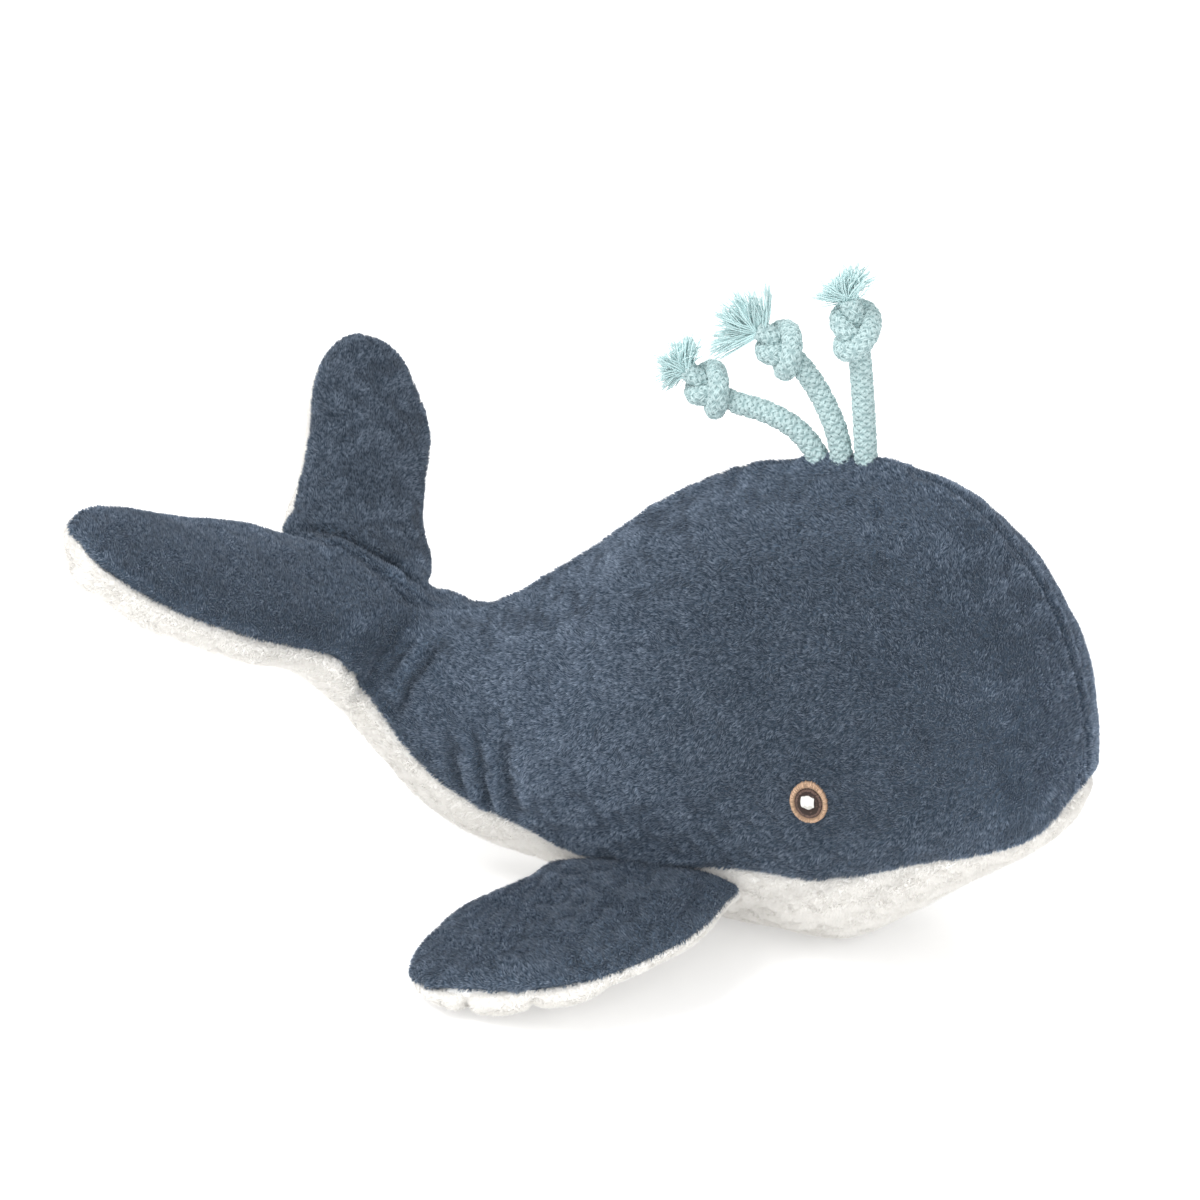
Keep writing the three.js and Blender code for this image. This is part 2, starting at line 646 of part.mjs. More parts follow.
// Torso: two side panels that meet in the seam ridge, a belly panel with a flat rest, and the stuffing
const restCut = pastPlane(new THREE.Vector3(0, 0, 0), new THREE.Vector3(0, 0, -1), bodyLength);
const withHoles = (solid) => cordHoles.reduce((left, hole) => left.subtract(hole), solid);
const upper = {};
for (const [name, side] of Object.entries(sides)) {
  upper[name] = sidePanel(place.noseStart, lastStation, 8, side, topStart, seamOf);
  addPiece(groups.body, `${name}_side_panel`, withHoles(upper[name].subtract(cutTail)), plushBlue());
}
addPiece(
  groups.body,
  'belly_panel',
  bellyPanel(place.noseStart, place.bellyEnd, 11).subtract(cutTail).subtract(restCut),
  plushWhite(),
);
addPiece(
  groups.body,
  'body_stuffing',
  withHoles(stuffing(place.coreStart, place.tailCoreEnd, 8).subtract(cutTail)),
  fibre(),
);

// Tail and flukes
addPiece(
  groups.tail,
  'tail_stuffing',
  stuffing(place.tailSkinStart, place.tailCoreEnd, 8).intersect(keepTail).subtract(cutFlukes),
  fibre(),
);
for (const [name, side] of Object.entries(sides)) {
  const lower = sidePanel(place.tailSkinStart, lastStation, 5, side, seamOf, bottomEnd);
  const clearOfNotch = pastPlane(
    new THREE.Vector3(0, side * notchClearance, 0),
    new THREE.Vector3(0, side, 0),
    bodyLength,
  );
  const fluke = keepFluke[name].intersect(clearOfNotch);
  addPiece(groups.tail, `${name}_tail_panel`, upper[name].intersect(keepTail).subtract(cutFlukes), plushBlue());
  addPiece(groups.tail, `${name}_tail_underside`, lower.intersect(keepTail).subtract(cutFlukes), plushWhite());
  const flukeGroup = groups[`${name}_fluke`];
  addPiece(flukeGroup, `${name}_fluke_top`, upper[name].intersect(fluke), plushBlue());
  addPiece(flukeGroup, `${name}_fluke_underside`, lower.intersect(fluke), plushWhite());
  addPiece(flukeGroup, `${name}_fluke_stuffing`, flukeStuffing(12, side).intersect(fluke), fibre());
}

// Flippers: sewn along the side seam, each turning about a round root that lies against the body
const rootFront = outerPoint(place.flipperFront, seamOf(place.flipperFront));
const rootRear = outerPoint(place.flipperRear, seamOf(place.flipperRear));
const rootAlong = rootFront.clone().sub(rootRear).normalize();
const rootLevel = new THREE.Vector3(-rootAlong.y, rootAlong.x, 0).normalize();
const rootRise = rootAlong.clone().cross(rootLevel).normalize();
const flipperOut = rootLevel.clone().multiplyScalar(Math.cos(radians(flipperDroopDegrees)))
  .addScaledVector(rootRise, -Math.sin(radians(flipperDroopDegrees)));
const flipperUp = rootAlong.clone().cross(flipperOut).normalize();
const rootSeam = seamOf(place.flipperMiddle);
const flipperHinge = outerPoint(place.flipperMiddle, rootSeam)
  .addScaledVector(outerNormal(place.flipperMiddle, rootSeam), flipperRootRadius + seatGap);

function flipperPoint(s, angle, depth, side) {
  const [out, front, rear, rise, drop] = between(flipperStations, s, [3, 4]);
  const half = Math.max((front - rear) / 2 - depth, 0);
  const height = Math.max((Math.cos(angle) > 0 ? rise : drop) - depth, 0);
  const point = flipperHinge.clone()
    .addScaledVector(flipperOut, out)
    .addScaledVector(rootAlong, (front + rear) / 2 + half * Math.sin(angle))
    .addScaledVector(flipperUp, height * Math.cos(angle));
  point.y *= side;
  return point;
}

const flipperTip = flipperStations.length - 1;
const flipperInnerTip = flipperTip - halfStationShare;

function flipperPanel(columns, side, from, to) {
  const rings = steps(0, flipperTip, 1.5).map((s) => {
    const inner = (s * flipperInnerTip) / flipperTip;
    const [, , , rise, drop] = between(flipperStations, s, [3, 4]);
    const edge = Math.max(Math.cos((from + to) / 2) > 0 ? rise : drop, seamGap);
    const turn = Math.min(seamGap / 2 / edge, widestGapShare);
    const angles = Array.from({ length: columns + 1 }, (_, j) => from + turn + ((to - from - 2 * turn) * j) / columns);
    return [
      ...angles.map((a) => flipperPoint(s, a, 0, side)),
      ...angles.reverse().map((a) => flipperPoint(inner, a, plushThickness, side)),
    ];
  });
  return loftRings(rings, stripPairs(columns));
}

function flipperStuffing(columns, side) {
  const depth = plushThickness + stuffingGap;
  const rings = steps(0, flipperInnerTip, 1.5).map((s) => Array.from({ length: columns }, (_, j) => (
    flipperPoint(s, -Math.PI / 2 + (2 * Math.PI * j) / columns, depth, side)
  )));
  const pairs = Array.from({ length: columns / 2 - 1 }, (_, j) => [
    j === 0 ? 0 : columns - j, j === 0 ? 0 : j, j + 1, columns - j - 1,
  ]);
  pairs.push([columns / 2 + 1, columns / 2 - 1, columns / 2, columns / 2]);
  return loftRings(rings, pairs);
}

for (const [name, side] of Object.entries(sides)) {
  const turn = side < 0 ? mirrorY : (v) => v.clone();
  const region = bendRegion(turn(flipperHinge), turn(rootAlong), turn(flipperOut), flipperRootRadius, bodyLength);
  const flipperGroup = groups[`${name}_flipper`];
  const top = flipperPanel(6, side, -Math.PI / 2, Math.PI / 2);
  const bottom = flipperPanel(6, side, Math.PI / 2, (3 * Math.PI) / 2);
  addPiece(flipperGroup, `${name}_flipper_top`, top.intersect(region), plushBlue());
  addPiece(flipperGroup, `${name}_flipper_underside`, bottom.intersect(region), plushWhite());
  addPiece(flipperGroup, `${name}_flipper_stuffing`, flipperStuffing(12, side).intersect(region), fibre());
}

// Embroidered eyes: an oval ring, an oval iris and a round highlight, laid on the side panels
function eyePoint(length, height, turn, lift, side) {
  const angle = radians(eyeDegrees);
  const step = 2 * probeShare;
  const [ahead, behind] = [probeShare, -probeShare].map((share) => outerPoint(place.eye + share, angle));
  const [below, above] = [probeShare, -probeShare].map((share) => outerPoint(place.eye, angle + share));
  const perStation = ahead.distanceTo(behind) / step;
  const perTurn = below.distanceTo(above) / step;
  return skinPoint(
    place.eye + (length * Math.cos(turn)) / perStation,
    angle + (height * Math.sin(turn)) / perTurn,
    -lift,
    side,
    0,
  );
}

function ovalBand(inner, outer, side) {
  const turns = Array.from({ length: 20 }, (_, i) => (2 * Math.PI * i) / 20);
  const corners = [
    [outer, seatGap],
    [outer, seatGap + embroideryHeight * embroideryEdgeShare],
    [inner, seatGap + embroideryHeight],
    [inner, seatGap],
  ];
  const rings = turns.map((turn) => corners.map(([[length, height], lift]) => (
    eyePoint(length, height, turn, lift, side)
  )));
  rings.push(rings[0]);
  return loftRings(rings, []);
}

for (const [name, side] of Object.entries(sides)) {
  addPiece(groups.body, `${name}_eye_ring`, ovalBand(
    [irisLength + threadGap, irisHeight + threadGap],
    [eyeRingLength, eyeRingHeight],
    side,
  ), tanThread());
  addPiece(groups.body, `${name}_eye_iris`, ovalBand(
    [highlightLength + threadGap, highlightHeight + threadGap],
    [irisLength, irisHeight],
    side,
  ), brownThread());
  addPiece(groups.body, `${name}_eye_highlight`, ovalBand(
    [0, 0],
    [highlightLength, highlightHeight],
    side,
  ), whiteThread());
}

export default whale;
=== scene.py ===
import math

import bmesh
import bpy
import numpy as np
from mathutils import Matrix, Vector


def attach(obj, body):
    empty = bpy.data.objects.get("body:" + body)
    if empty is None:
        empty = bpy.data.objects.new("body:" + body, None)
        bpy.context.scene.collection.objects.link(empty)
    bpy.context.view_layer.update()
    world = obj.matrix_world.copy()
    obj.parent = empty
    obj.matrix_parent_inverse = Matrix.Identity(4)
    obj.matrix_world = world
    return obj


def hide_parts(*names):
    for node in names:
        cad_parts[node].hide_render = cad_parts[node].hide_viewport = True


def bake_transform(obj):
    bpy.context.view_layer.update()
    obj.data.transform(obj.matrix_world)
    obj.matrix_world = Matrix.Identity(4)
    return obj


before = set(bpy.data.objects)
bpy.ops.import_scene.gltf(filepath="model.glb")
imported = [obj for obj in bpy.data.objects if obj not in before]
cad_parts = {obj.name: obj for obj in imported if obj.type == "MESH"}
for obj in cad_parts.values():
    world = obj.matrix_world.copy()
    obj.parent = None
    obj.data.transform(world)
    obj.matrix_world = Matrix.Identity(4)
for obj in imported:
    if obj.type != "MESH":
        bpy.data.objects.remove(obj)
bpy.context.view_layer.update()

# Camera: a long lens 1.2 metres away, 23 degrees round from the whale's right side
# It looks down from 21 degrees above the floor, so that the back, the flukes and one eye show.
around, above, distance = math.radians(23), math.radians(21), 1.2
aim = Vector((-0.06664, 0.00744, 0.08596))
sight = Vector((-math.sin(around) * math.cos(above), math.cos(around) * math.cos(above), -math.sin(above)))
lens = bpy.data.cameras.new("camera")
lens.lens = 123.2
lens.sensor_width = 36.0
lens.clip_start = 0.05
lens.clip_end = 20.0


def placed(name, data, place=(0, 0, 0), way=None):
    """A new object in the scene, turned to look along a direction where one is given."""
    obj = bpy.data.objects.new(name, data)
    obj.location = place
    if way is not None:
        obj.rotation_mode = "QUATERNION"
        obj.rotation_quaternion = way.to_track_quat("-Z", "Y")
    bpy.context.scene.collection.objects.link(obj)
    return obj


bpy.context.scene.camera = placed("camera", lens, aim - distance * sight, sight)
bpy.context.scene.view_settings.view_transform = "Standard"

# Cords: braided cotton, over six millimetres thick, sewn upright into the seam on the head
# Each ends in an overhand knot pulled tight, with its end unlaid into loose fibres that spread like a fan.
# Places are x and z in millimetres. The leans are degrees from upright into a knot and out of it.
cord_routes = {
    "front": {
        "route": [(16.9, 142.6), (16.3, 152.0), (15.4, 163.0)],
        "knot": (13.2, 180.4), "lean": (4, 22), "seed": 11,
        "fan": [(0.2, 189.0), (2.8, 192.6), (6.6, 194.4), (9.8, 198.4), (13.4, 198.4), (17.2, 196.4)],
    },
    "middle": {
        "route": [(9.8, 142.2), (7.7, 151.0), (2.6, 161.0)],
        "knot": (-8.2, 172.4), "lean": (41, 68), "seed": 23,
        "fan": [(-30.6, 167.0), (-29.6, 174.0), (-27.6, 181.4), (-24.0, 186.2), (-19.8, 187.4),
                (-15.2, 189.2)],
    },
    "rear": {
        "route": [(2.6, 141.8), (-3.6, 149.0), (-12.6, 153.0)],
        "knot": (-29.6, 158.2), "lean": (71, 55), "seed": 37,
        "fan": [(-42.8, 156.4), (-45.6, 160.6), (-45.2, 165.4), (-41.6, 170.2), (-37.6, 173.4),
                (-34.4, 170.8)],
    },
}
# Half of the run of a knot, in shares of its size
knot_size = 0.0041
knot_shares = [
    (-2.05, 0.00, -0.05), (-1.30, 0.00, -0.05), (-0.50, 0.05, -0.35), (0.10, 0.60, -0.55),
    (0.70, 1.05, -0.15), (1.10, 0.95, 0.60), (1.20, 0.30, 1.15), (0.90, -0.50, 1.15),
    (0.45, -0.95, 0.65), (0.00, -1.05, 0.00),
]
cord_diameter, cord_radius, knotted_radius, depth_in_seam = 0.0062, 0.00302, 0.00272, 0.0045
yarns_each_way, yarn_pitch, core_share, ply_share, ply_turn = 8, 0.0155, 0.90, 0.150, 0.130
weave_middle, weave_reach, hollow_share, crown_share = 0.87, 0.095, 0.86, 1.08
loose_yarns, fibres_in_yarn, stray_fibres = 24, 18, 2
fan_jitter, yarn_bow, fibre_spread, fibre_curl, stray_reach = 0.0042, 0.0007, 0.00055, 0.00035, 0.0016
start_inside, start_across, start_aside, thin_fibre, thick_fibre = 0.0020, 0.0016, 0.0012, 0.00022, 0.00028
before_knot, after_knot, foot_swell, foot_reach, yarn_jitter = 0.002, 0.004, 0.08, 0.006, 0.00003


def unit(v):
    return v / np.maximum(np.linalg.norm(v, axis=-1), 1e-12)[..., None]


def run_along(line):
    """Distance along a line from its first point to each of its points."""
    return np.concatenate([[0], np.cumsum(np.linalg.norm(np.diff(line, axis=0), axis=1))])


def smooth_step(x, low, high):
    t = np.clip((x - low) / (high - low), 0, 1)
    return t * t * (3 - 2 * t)


def smooth_path(points, spacing):
    """Centripetal Catmull-Rom curve through points, resampled at an even spacing, and its length."""
    points = np.asarray(points, float)
    padded = np.vstack([2 * points[0] - points[1], points, 2 * points[-1] - points[-2]])
    out = []
    for a, b, c, d in zip(padded, padded[1:], padded[2:], padded[3:]):
        t0 = 0.0
        t1 = t0 + np.linalg.norm(b - a) ** 0.5
        t2 = t1 + np.linalg.norm(c - b) ** 0.5
        t3 = t2 + np.linalg.norm(d - c) ** 0.5
        t = np.linspace(t1, t2, 40, endpoint=False)[:, None]

        def mixed(low, high, before, after):
            return (high - t) / (high - low) * before + (t - low) / (high - low) * after
        p1, p2, p3 = mixed(t0, t1, a, b), mixed(t1, t2, b, c), mixed(t2, t3, c, d)
        out.append(mixed(t1, t2, mixed(t0, t2, p1, p2), mixed(t1, t3, p2, p3)))
    dense = np.vstack(out + [points[-1:]])
    run = run_along(dense)
    at = np.linspace(0, run[-1], max(2, int(round(run[-1] / spacing))) + 1)
    return np.stack([np.interp(at, run, dense[:, k]) for k in range(3)], 1), run[-1]


def carried_frames(path):
    """Unit tangent and two cross directions along a path, turned as little as possible on the way."""
    tangent = unit(np.gradient(path, axis=0))
    first = np.cross(tangent[0], (0.0, 1.0, 0.0))
    if np.linalg.norm(first) < 0.1:
        first = np.cross(tangent[0], (1.0, 0.0, 0.0))
    normals = [unit(first)]
    for t in tangent[1:]:
        normals.append(unit(normals[-1] - t * np.dot(normals[-1], t)))
    normals = np.array(normals)
    return tangent, normals, np.cross(tangent, normals)


def tube_parts(path, radius, sides):
    """Vertices and faces of a tube with closed ends; radius is one number or one for each point."""
    tangent, n, b = carried_frames(path)
    radius = np.broadcast_to(radius, (len(path),))
    turn = 2 * np.pi * np.arange(sides) / sides
    ring = np.cos(turn)[None, :, None] * n[:, None] + np.sin(turn)[None, :, None] * b[:, None]
    verts = (path[:, None] + radius[:, None, None] * ring).reshape(-1, 3)
    faces = []
    for i in range(len(path) - 1):
        for j in range(sides):
            k = (j + 1) % sides
            faces.append((i * sides + j, i * sides + k, (i + 1) * sides + k, (i + 1) * sides + j))
    faces.append(tuple(reversed(range(sides))))
    faces.append(tuple(range((len(path) - 1) * sides, len(path) * sides)))
    return verts, faces


def mesh_from(name, parts):
    """One smooth mesh object from several (vertices, faces) parts."""
    verts, faces, base = [], [], 0
    for v, f in parts:
        verts.append(np.asarray(v))
        faces.extend(tuple(i + base for i in face) for face in f)
        base += len(v)
    mesh = bpy.data.meshes.new(name)
    mesh.from_pydata(np.vstack(verts).tolist(), [], faces)
    mesh.update()
    mesh.polygons.foreach_set("use_smooth", [True] * len(mesh.polygons))
    return placed(name, mesh)


def float_attribute(obj, name, values):
    attribute = obj.data.attributes.new(name, "FLOAT", "POINT")
    attribute.data.foreach_set("value", np.asarray(values, np.float32))


def thread_piece(name, parts, crowns, shades, material, nodes, slot):
    """A piece of threads. A crown is how far a point stands out of its hollow: the material paints painted
    shade low and painted light high. A shade is a thread's own tone.
    """
    piece = mesh_from(name, parts)
    float_attribute(piece, "crown", np.concatenate(crowns))
    float_attribute(piece, "shade", np.concatenate(shades))
    piece.data.materials.append(material)
    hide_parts(*nodes)
    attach(piece, "body")
    return piece


def node(tree, kind, operation=None, data_type=None, **inputs):
    """A node with its inputs set or linked, named with underscores for spaces, or in0, in1 and so on."""
    made = tree.nodes.new(kind)
    if operation:
        made.operation = operation
    if data_type:
        made.data_type = data_type
    for key, value in inputs.items():
        socket = made.inputs[int(key[2:]) if key.startswith("in") else key.replace("_", " ")]
        if isinstance(value, bpy.types.NodeSocket):
            tree.links.new(value, socket)
        else:
            socket.default_value = value
    return made


def attribute_node(tree, name):
    made = tree.nodes.new("ShaderNodeAttribute")
    made.attribute_name = name
    return made


def ranged(tree, value, low, high, from_low=0.0, from_high=1.0):
    """A value carried from one range into another, and kept inside it."""
    return node(tree, "ShaderNodeMapRange", Value=value, From_Min=from_low, From_Max=from_high, To_Min=low,
                To_Max=high).outputs[0]


def joined(tree, operation, values):
    """The sum or the product of several values."""
    total = values[0]
    for value in values[1:]:
        total = node(tree, "ShaderNodeMath", operation, in0=total, in1=value).outputs[0]
    return total


def scaled(tree, vector, share):
    return node(tree, "ShaderNodeVectorMath", "SCALE", in0=vector, Scale=share).outputs[0]


def mix_colours(tree, share, low, high):
    """A colour mix; low and high are colours or sockets."""
    ends = [end if isinstance(end, bpy.types.NodeSocket) else (*end, 1) for end in (low, high)]
    return node(tree, "ShaderNodeMix", data_type="RGBA", in0=share, in6=ends[0], in7=ends[1]).outputs[2]


def new_material(name):
    material = bpy.data.materials.new(name)
    material.use_nodes = True
    tree = material.node_tree
    tree.nodes.clear()
    return material, tree


def finish_material(tree, surface):
    output = tree.nodes.new("ShaderNodeOutputMaterial")
    tree.links.new(surface, output.inputs["Surface"])


def thread_material(name, hollow_painted_shade, crown, fibre_scale, sheen):
    """Spun thread: painted shade in the hollows between the yarns and painted light on their crowns, with
    fine fibres and soft blotches.
    """
    material, tree = new_material(name)
    coords = node(tree, "ShaderNodeTexCoord")
    depth, shade = attribute_node(tree, "crown"), attribute_node(tree, "shade")
    fibres = node(tree, "ShaderNodeTexNoise", Vector=coords.outputs["Object"], Scale=fibre_scale, Detail=4.0,
                  Roughness=0.7)
    blotch = node(tree, "ShaderNodeTexNoise", Vector=coords.outputs["Object"], Scale=260.0, Detail=3.0)
    colour = mix_colours(tree, depth.outputs["Fac"], hollow_painted_shade, crown)
    tone = joined(tree, "MULTIPLY", [
        ranged(tree, source.outputs["Fac"], low, high)
        for source, low, high in ((fibres, 0.86, 1.12), (blotch, 0.94, 1.06), (shade, 0.84, 1.12))])
    bump = node(tree, "ShaderNodeBump", Strength=0.4, Distance=0.00015, Height=fibres.outputs["Fac"])
    shader = node(tree, "ShaderNodeBsdfPrincipled", Base_Color=scaled(tree, colour, tone), Roughness=0.9,
                  Normal=bump.outputs[0], Specular_IOR_Level=0.2, Sheen_Weight=sheen, Sheen_Roughness=0.6)
    finish_material(tree, shader.outputs[0])
    return material


def knotted_path(spec):
    """The middle line of a cord from inside the seam through its knot, its length and the knot's run."""
    lean_in, lean_out = (math.radians(lean) for lean in spec["lean"])
    mean, bend = (lean_in + lean_out) / 2, lean_out - lean_in
    away, across = np.array((-math.sin(mean), 0, math.cos(mean))), np.array((0.0, 1.0, 0.0))
    half_knot = np.array(knot_shares) * knot_size
    lead = half_knot[1, 0] - half_knot[0, 0]
    half_knot[0, :2] = (half_knot[1, 0] - lead * math.cos(bend / 2), lead * math.sin(bend / 2))
    local = np.vstack([half_knot, half_knot[-2::-1] * (-1, 1, -1)])
    centre = np.array((spec["knot"][0], 0, spec["knot"][1])) / 1000
    knot = centre + local @ np.array([away, np.cross(away, across), across])
    route = [np.array((x, 0.0, z)) / 1000 for x, z in spec["route"]]
    root = route[0] - (0, 0, depth_in_seam)
    path, run = smooth_path(np.vstack([root[None], route, knot]), 0.0004)
    return path, run, knot


def braid(path, knot_start, rng):
    """Parts, crowns and shades of the core of a cord and the yarns braided over it, thinner in the knot."""
    along = run_along(path)
    start_of_knot = np.argmin(np.linalg.norm(path - knot_start, axis=1))
    squeeze = smooth_step(along - along[start_of_knot], -before_knot, after_knot)
    radius = cord_radius * (1 - squeeze) + knotted_radius * squeeze
    radius *= 1 + foot_swell * np.exp(-along / foot_reach)
    tangent, n, b = carried_frames(path)
    core, core_faces = tube_parts(path, radius * core_share, 14)
    # The core takes nearly the hollow colour: painted shade where it shows between the yarns.
    parts, crowns, shades = [(core, core_faces)], [np.full(len(core), 0.15)], [np.full(len(core), 0.5)]
    winding = 2 * np.pi * along / yarn_pitch
    for direction in (1, -1):
        for k in range(yarns_each_way):
            turn = direction * winding + 2 * np.pi * k / yarns_each_way
            turn += 0 if direction > 0 else np.pi / yarns_each_way
            weave = np.cos(yarns_each_way * winding + direction * np.pi / 2 + np.pi * k)
            for ply in (-1, 1):
                angle = turn + direction * ply * ply_turn
                lift = radius * (weave_middle + weave_reach * weave)
                line = path + lift[:, None] * (np.cos(angle)[:, None] * n + np.sin(angle)[:, None] * b)
                line = line + rng.normal(0, yarn_jitter, line.shape)
                yarn, faces = tube_parts(line, radius * ply_share, 5)
                parts.append((yarn, faces))
                # How far each yarn stands out: the material paints it from painted shade in its hollows to
                # painted light on its crown.
                out = np.linalg.norm(yarn.reshape(len(path), 5, 3) - path[:, None], axis=2) / radius[:, None]
                out = (out.ravel() - hollow_share) / (crown_share - hollow_share)
                crowns.append(np.clip(out, 0, 1) ** 1.5)
                shades.append(np.full(len(yarn), rng.uniform(0.25, 0.75)))
    return parts, crowns, shades


def frayed_end(root, fan, rng):
    """Parts, crowns and shades of a loose end: each yarn spreads into its part of the fan as fibres."""
    across = np.array((0.0, 1.0, 0.0))
    parts, crowns, shades = [], [], []
    for k in range(loose_yarns):
        where = (k + rng.uniform(-0.3, 0.3)) / (loose_yarns - 1) * (len(fan) - 1)
        where = float(np.clip(where, 0, len(fan) - 1.001))
        low = int(where)
        tip = fan[low] + (fan[low + 1] - fan[low]) * (where - low)
        tip = root + (tip - root) * rng.uniform(0.84, 1.03)
        tip[1] += rng.uniform(-fan_jitter, fan_jitter)
        outward = unit(tip - root)
        side_way = unit(np.cross(outward, across))
        start = root - outward * start_inside + rng.uniform(-1, 1) * start_across * across
        start = start + side_way * rng.uniform(-1, 1) * start_aside
        bow = rng.normal(0, yarn_bow) * side_way + rng.normal(0, yarn_bow) * across
        tone = rng.uniform(0.2, 0.8)
        for fibre in range(fibres_in_yarn):
            stray = fibre >= fibres_in_yarn - stray_fibres
            t = np.linspace(0, 1, 10)[:, None]
            spread = rng.normal(0, fibre_spread) * side_way + rng.normal(0, fibre_spread) * across
            length = rng.uniform(0.70, 1.04)
            curl = rng.normal(0, fibre_curl, 3) * np.sin(np.pi * t * rng.uniform(1.0, 2.4))
            wild = rng.normal(0, stray_reach, 3) * t ** 2 if stray else 0
            strand = start + (tip - start) * length * t + spread * (0.35 + 1.6 * t ** 1.2)
            strand = strand + bow * np.sin(np.pi * t) + curl * t + wild
            thick = (thin_fibre if fibre % 3 else thick_fibre) * (1 - 0.35 * t[:, 0])
            v, f = tube_parts(strand, thick * (0.7 if stray else 1.0), 4)
            parts.append((v, f))
            # Painted shade near the knot, where the fibres lie packed together, fading out towards the tips.
            crowns.append(np.repeat(0.45 + 0.55 * t[:, 0], 4))
            shades.append(np.full(len(v), np.clip(tone + rng.uniform(-0.2, 0.2), 0, 1)))
    return parts, crowns, shades


# The loose cotton is coloured lighter than the braid; the braid's darker hollow colour is painted shade.
cord_material = thread_material("teal_cotton", (0.270, 0.390, 0.400), (0.500, 0.640, 0.645), 2600.0, 0.10)
loose_material = thread_material("loose_teal_cotton", (0.400, 0.620, 0.630), (0.600, 0.785, 0.790), 2600.0,
                                 0.20)

for cord_name, spec in cord_routes.items():
    rng = np.random.default_rng(spec["seed"])
    path, run, knot = knotted_path(spec)
    cord = thread_piece(f"{cord_name}_braid", *braid(path, knot[0], rng), cord_material,
                        [f"{cord_name}_cord", f"{cord_name}_knot"], "teal_cord")
    fan = np.array([(x, 0.0, z) for x, z in spec["fan"]]) / 1000
    tuft = thread_piece(f"{cord_name}_loose_yarns", *frayed_end(knot[-1], fan, rng), loose_material,
                        [f"{cord_name}_frayed_end"], "teal_cord")

# Shape of the whale: ovals swept from the nose to the tip of a fluke, one for each station
# Each row holds x, y, z, rise, drop, half width and seam ridge in millimetres, then the angle of the side
# seam from the top and the lean, sweep and roll of the oval in degrees. y counts outwards from the middle.
stations = np.array([
    (84.8, 0, 56.0, 0, 0, 0, 0, 95, 0, 0, 0),
    (84.0, 0, 57.5, 12.0, 8.4, 12.5, 0.8, 114, 0, 0, 0),
    (81.6, 0, 59.6, 21.8, 15.3, 22.5, 1.4, 121, 0, 0, 0),
    (76.2, 0, 61.6, 36.4, 22.5, 31.8, 2.0, 127, 0, 0, 0),
    (67.5, 0, 63.0, 50.7, 30.5, 39.6, 2.5, 127, 0, 0, 0),
    (55.6, 0, 63.8, 62.4, 40.0, 45.5, 3.0, 124, 0, 0, 0),
    (40.1, 0, 64.0, 72.0, 51.5, 49.0, 3.3, 121, 0, 0, 0),
    (20.1, 0, 64.0, 75.5, 64.3, 50.2, 3.5, 120, 0, 0, 0),
    (-1.9, 0, 63.6, 74.5, 64.3, 50.5, 3.5, 120, 0, 0, 0),
    (-24.1, 0, 62.0, 69.4, 62.8, 48.8, 3.5, 124, 0, 0, 0),
    (-43.9, 0, 59.5, 60.5, 60.3, 44.6, 3.5, 129, 0, 0, 0),
    (-62.1, 0, 57.0, 48.4, 54.0, 39.2, 3.3, 132, 0, 0, 0),
    (-78.0, 0, 55.0, 39.1, 49.0, 34.0, 3.0, 129, 0, 0, 0),
    (-91.9, 0, 53.5, 33.0, 45.5, 30.0, 2.6, 124, 6, 0, 0),
    (-104.1, 0, 53.5, 29.0, 39.9, 27.0, 2.2, 118, 14, 0, 0),
    (-114.1, 0, 56.0, 25.5, 34.3, 25.0, 1.5, 110, 22, 0, 0),
    (-125.5, 0, 62.2, 19.0, 27.6, 25.0, 0.8, 100, 28, 0, 0),
    (-132.5, 5.1, 69.6, 16.1, 24.0, 27.0, 0.3, 93, 31, 16, 2),
    (-140.9, 11.1, 77.0, 14.2, 21.1, 30.0, 0, 90, 32, 29, 4),
    (-149.1, 21.1, 83.2, 12.2, 18.7, 28.3, 0, 88, 32, 42, 6),
    (-158.3, 35.9, 91.6, 11.5, 18.0, 30.3, 0, 88, 32, 38, 6.5),
    (-165.6, 54.5, 100.4, 10.6, 17.3, 27.4, 0, 88, 32, 38, 7),
    (-172.1, 69.9, 108.6, 9.4, 15.8, 23.7, 0, 88, 32, 40, 7),
    (-177.8, 81.0, 115.7, 7.9, 13.9, 19.2, 0, 88, 32, 38, 7),
    (-182.4, 90.2, 121.7, 6.0, 10.6, 12.4, 0, 88, 32, 35, 7),
    (-184.6, 94.9, 125.2, 0, 0, 0, 0, 88, 32, 42, 7),
])
stations[:, :7] /= 1000
last_station = len(stations) - 1
sizes_of_oval = (5, 3, 4, 6)
fluke_tip_turn = 30


def between(rows, s, mirrored):
    """Rows of values at fractional places s, on a Catmull-Rom spline. Sizes change sign past a pole."""
    def ghost(end, following):
        if end[mirrored[0]] != 0:
            return 2 * end - following
        out = following.copy()
        out[list(mirrored)] *= -1
        return out
    table = np.vstack([ghost(rows[0], rows[1]), rows, ghost(rows[-1], rows[-2])])
    i = np.clip(np.floor(s).astype(int), 0, len(rows) - 2)
    t = (s - i)[..., None]
    a, b, c, d = (table[i + k] for k in range(4))
    return 0.5 * (2 * b + (c - a) * t + (2 * a - 5 * b + 4 * c - d) * t ** 2
                  + (3 * b - a - 3 * c + d) * t ** 3)


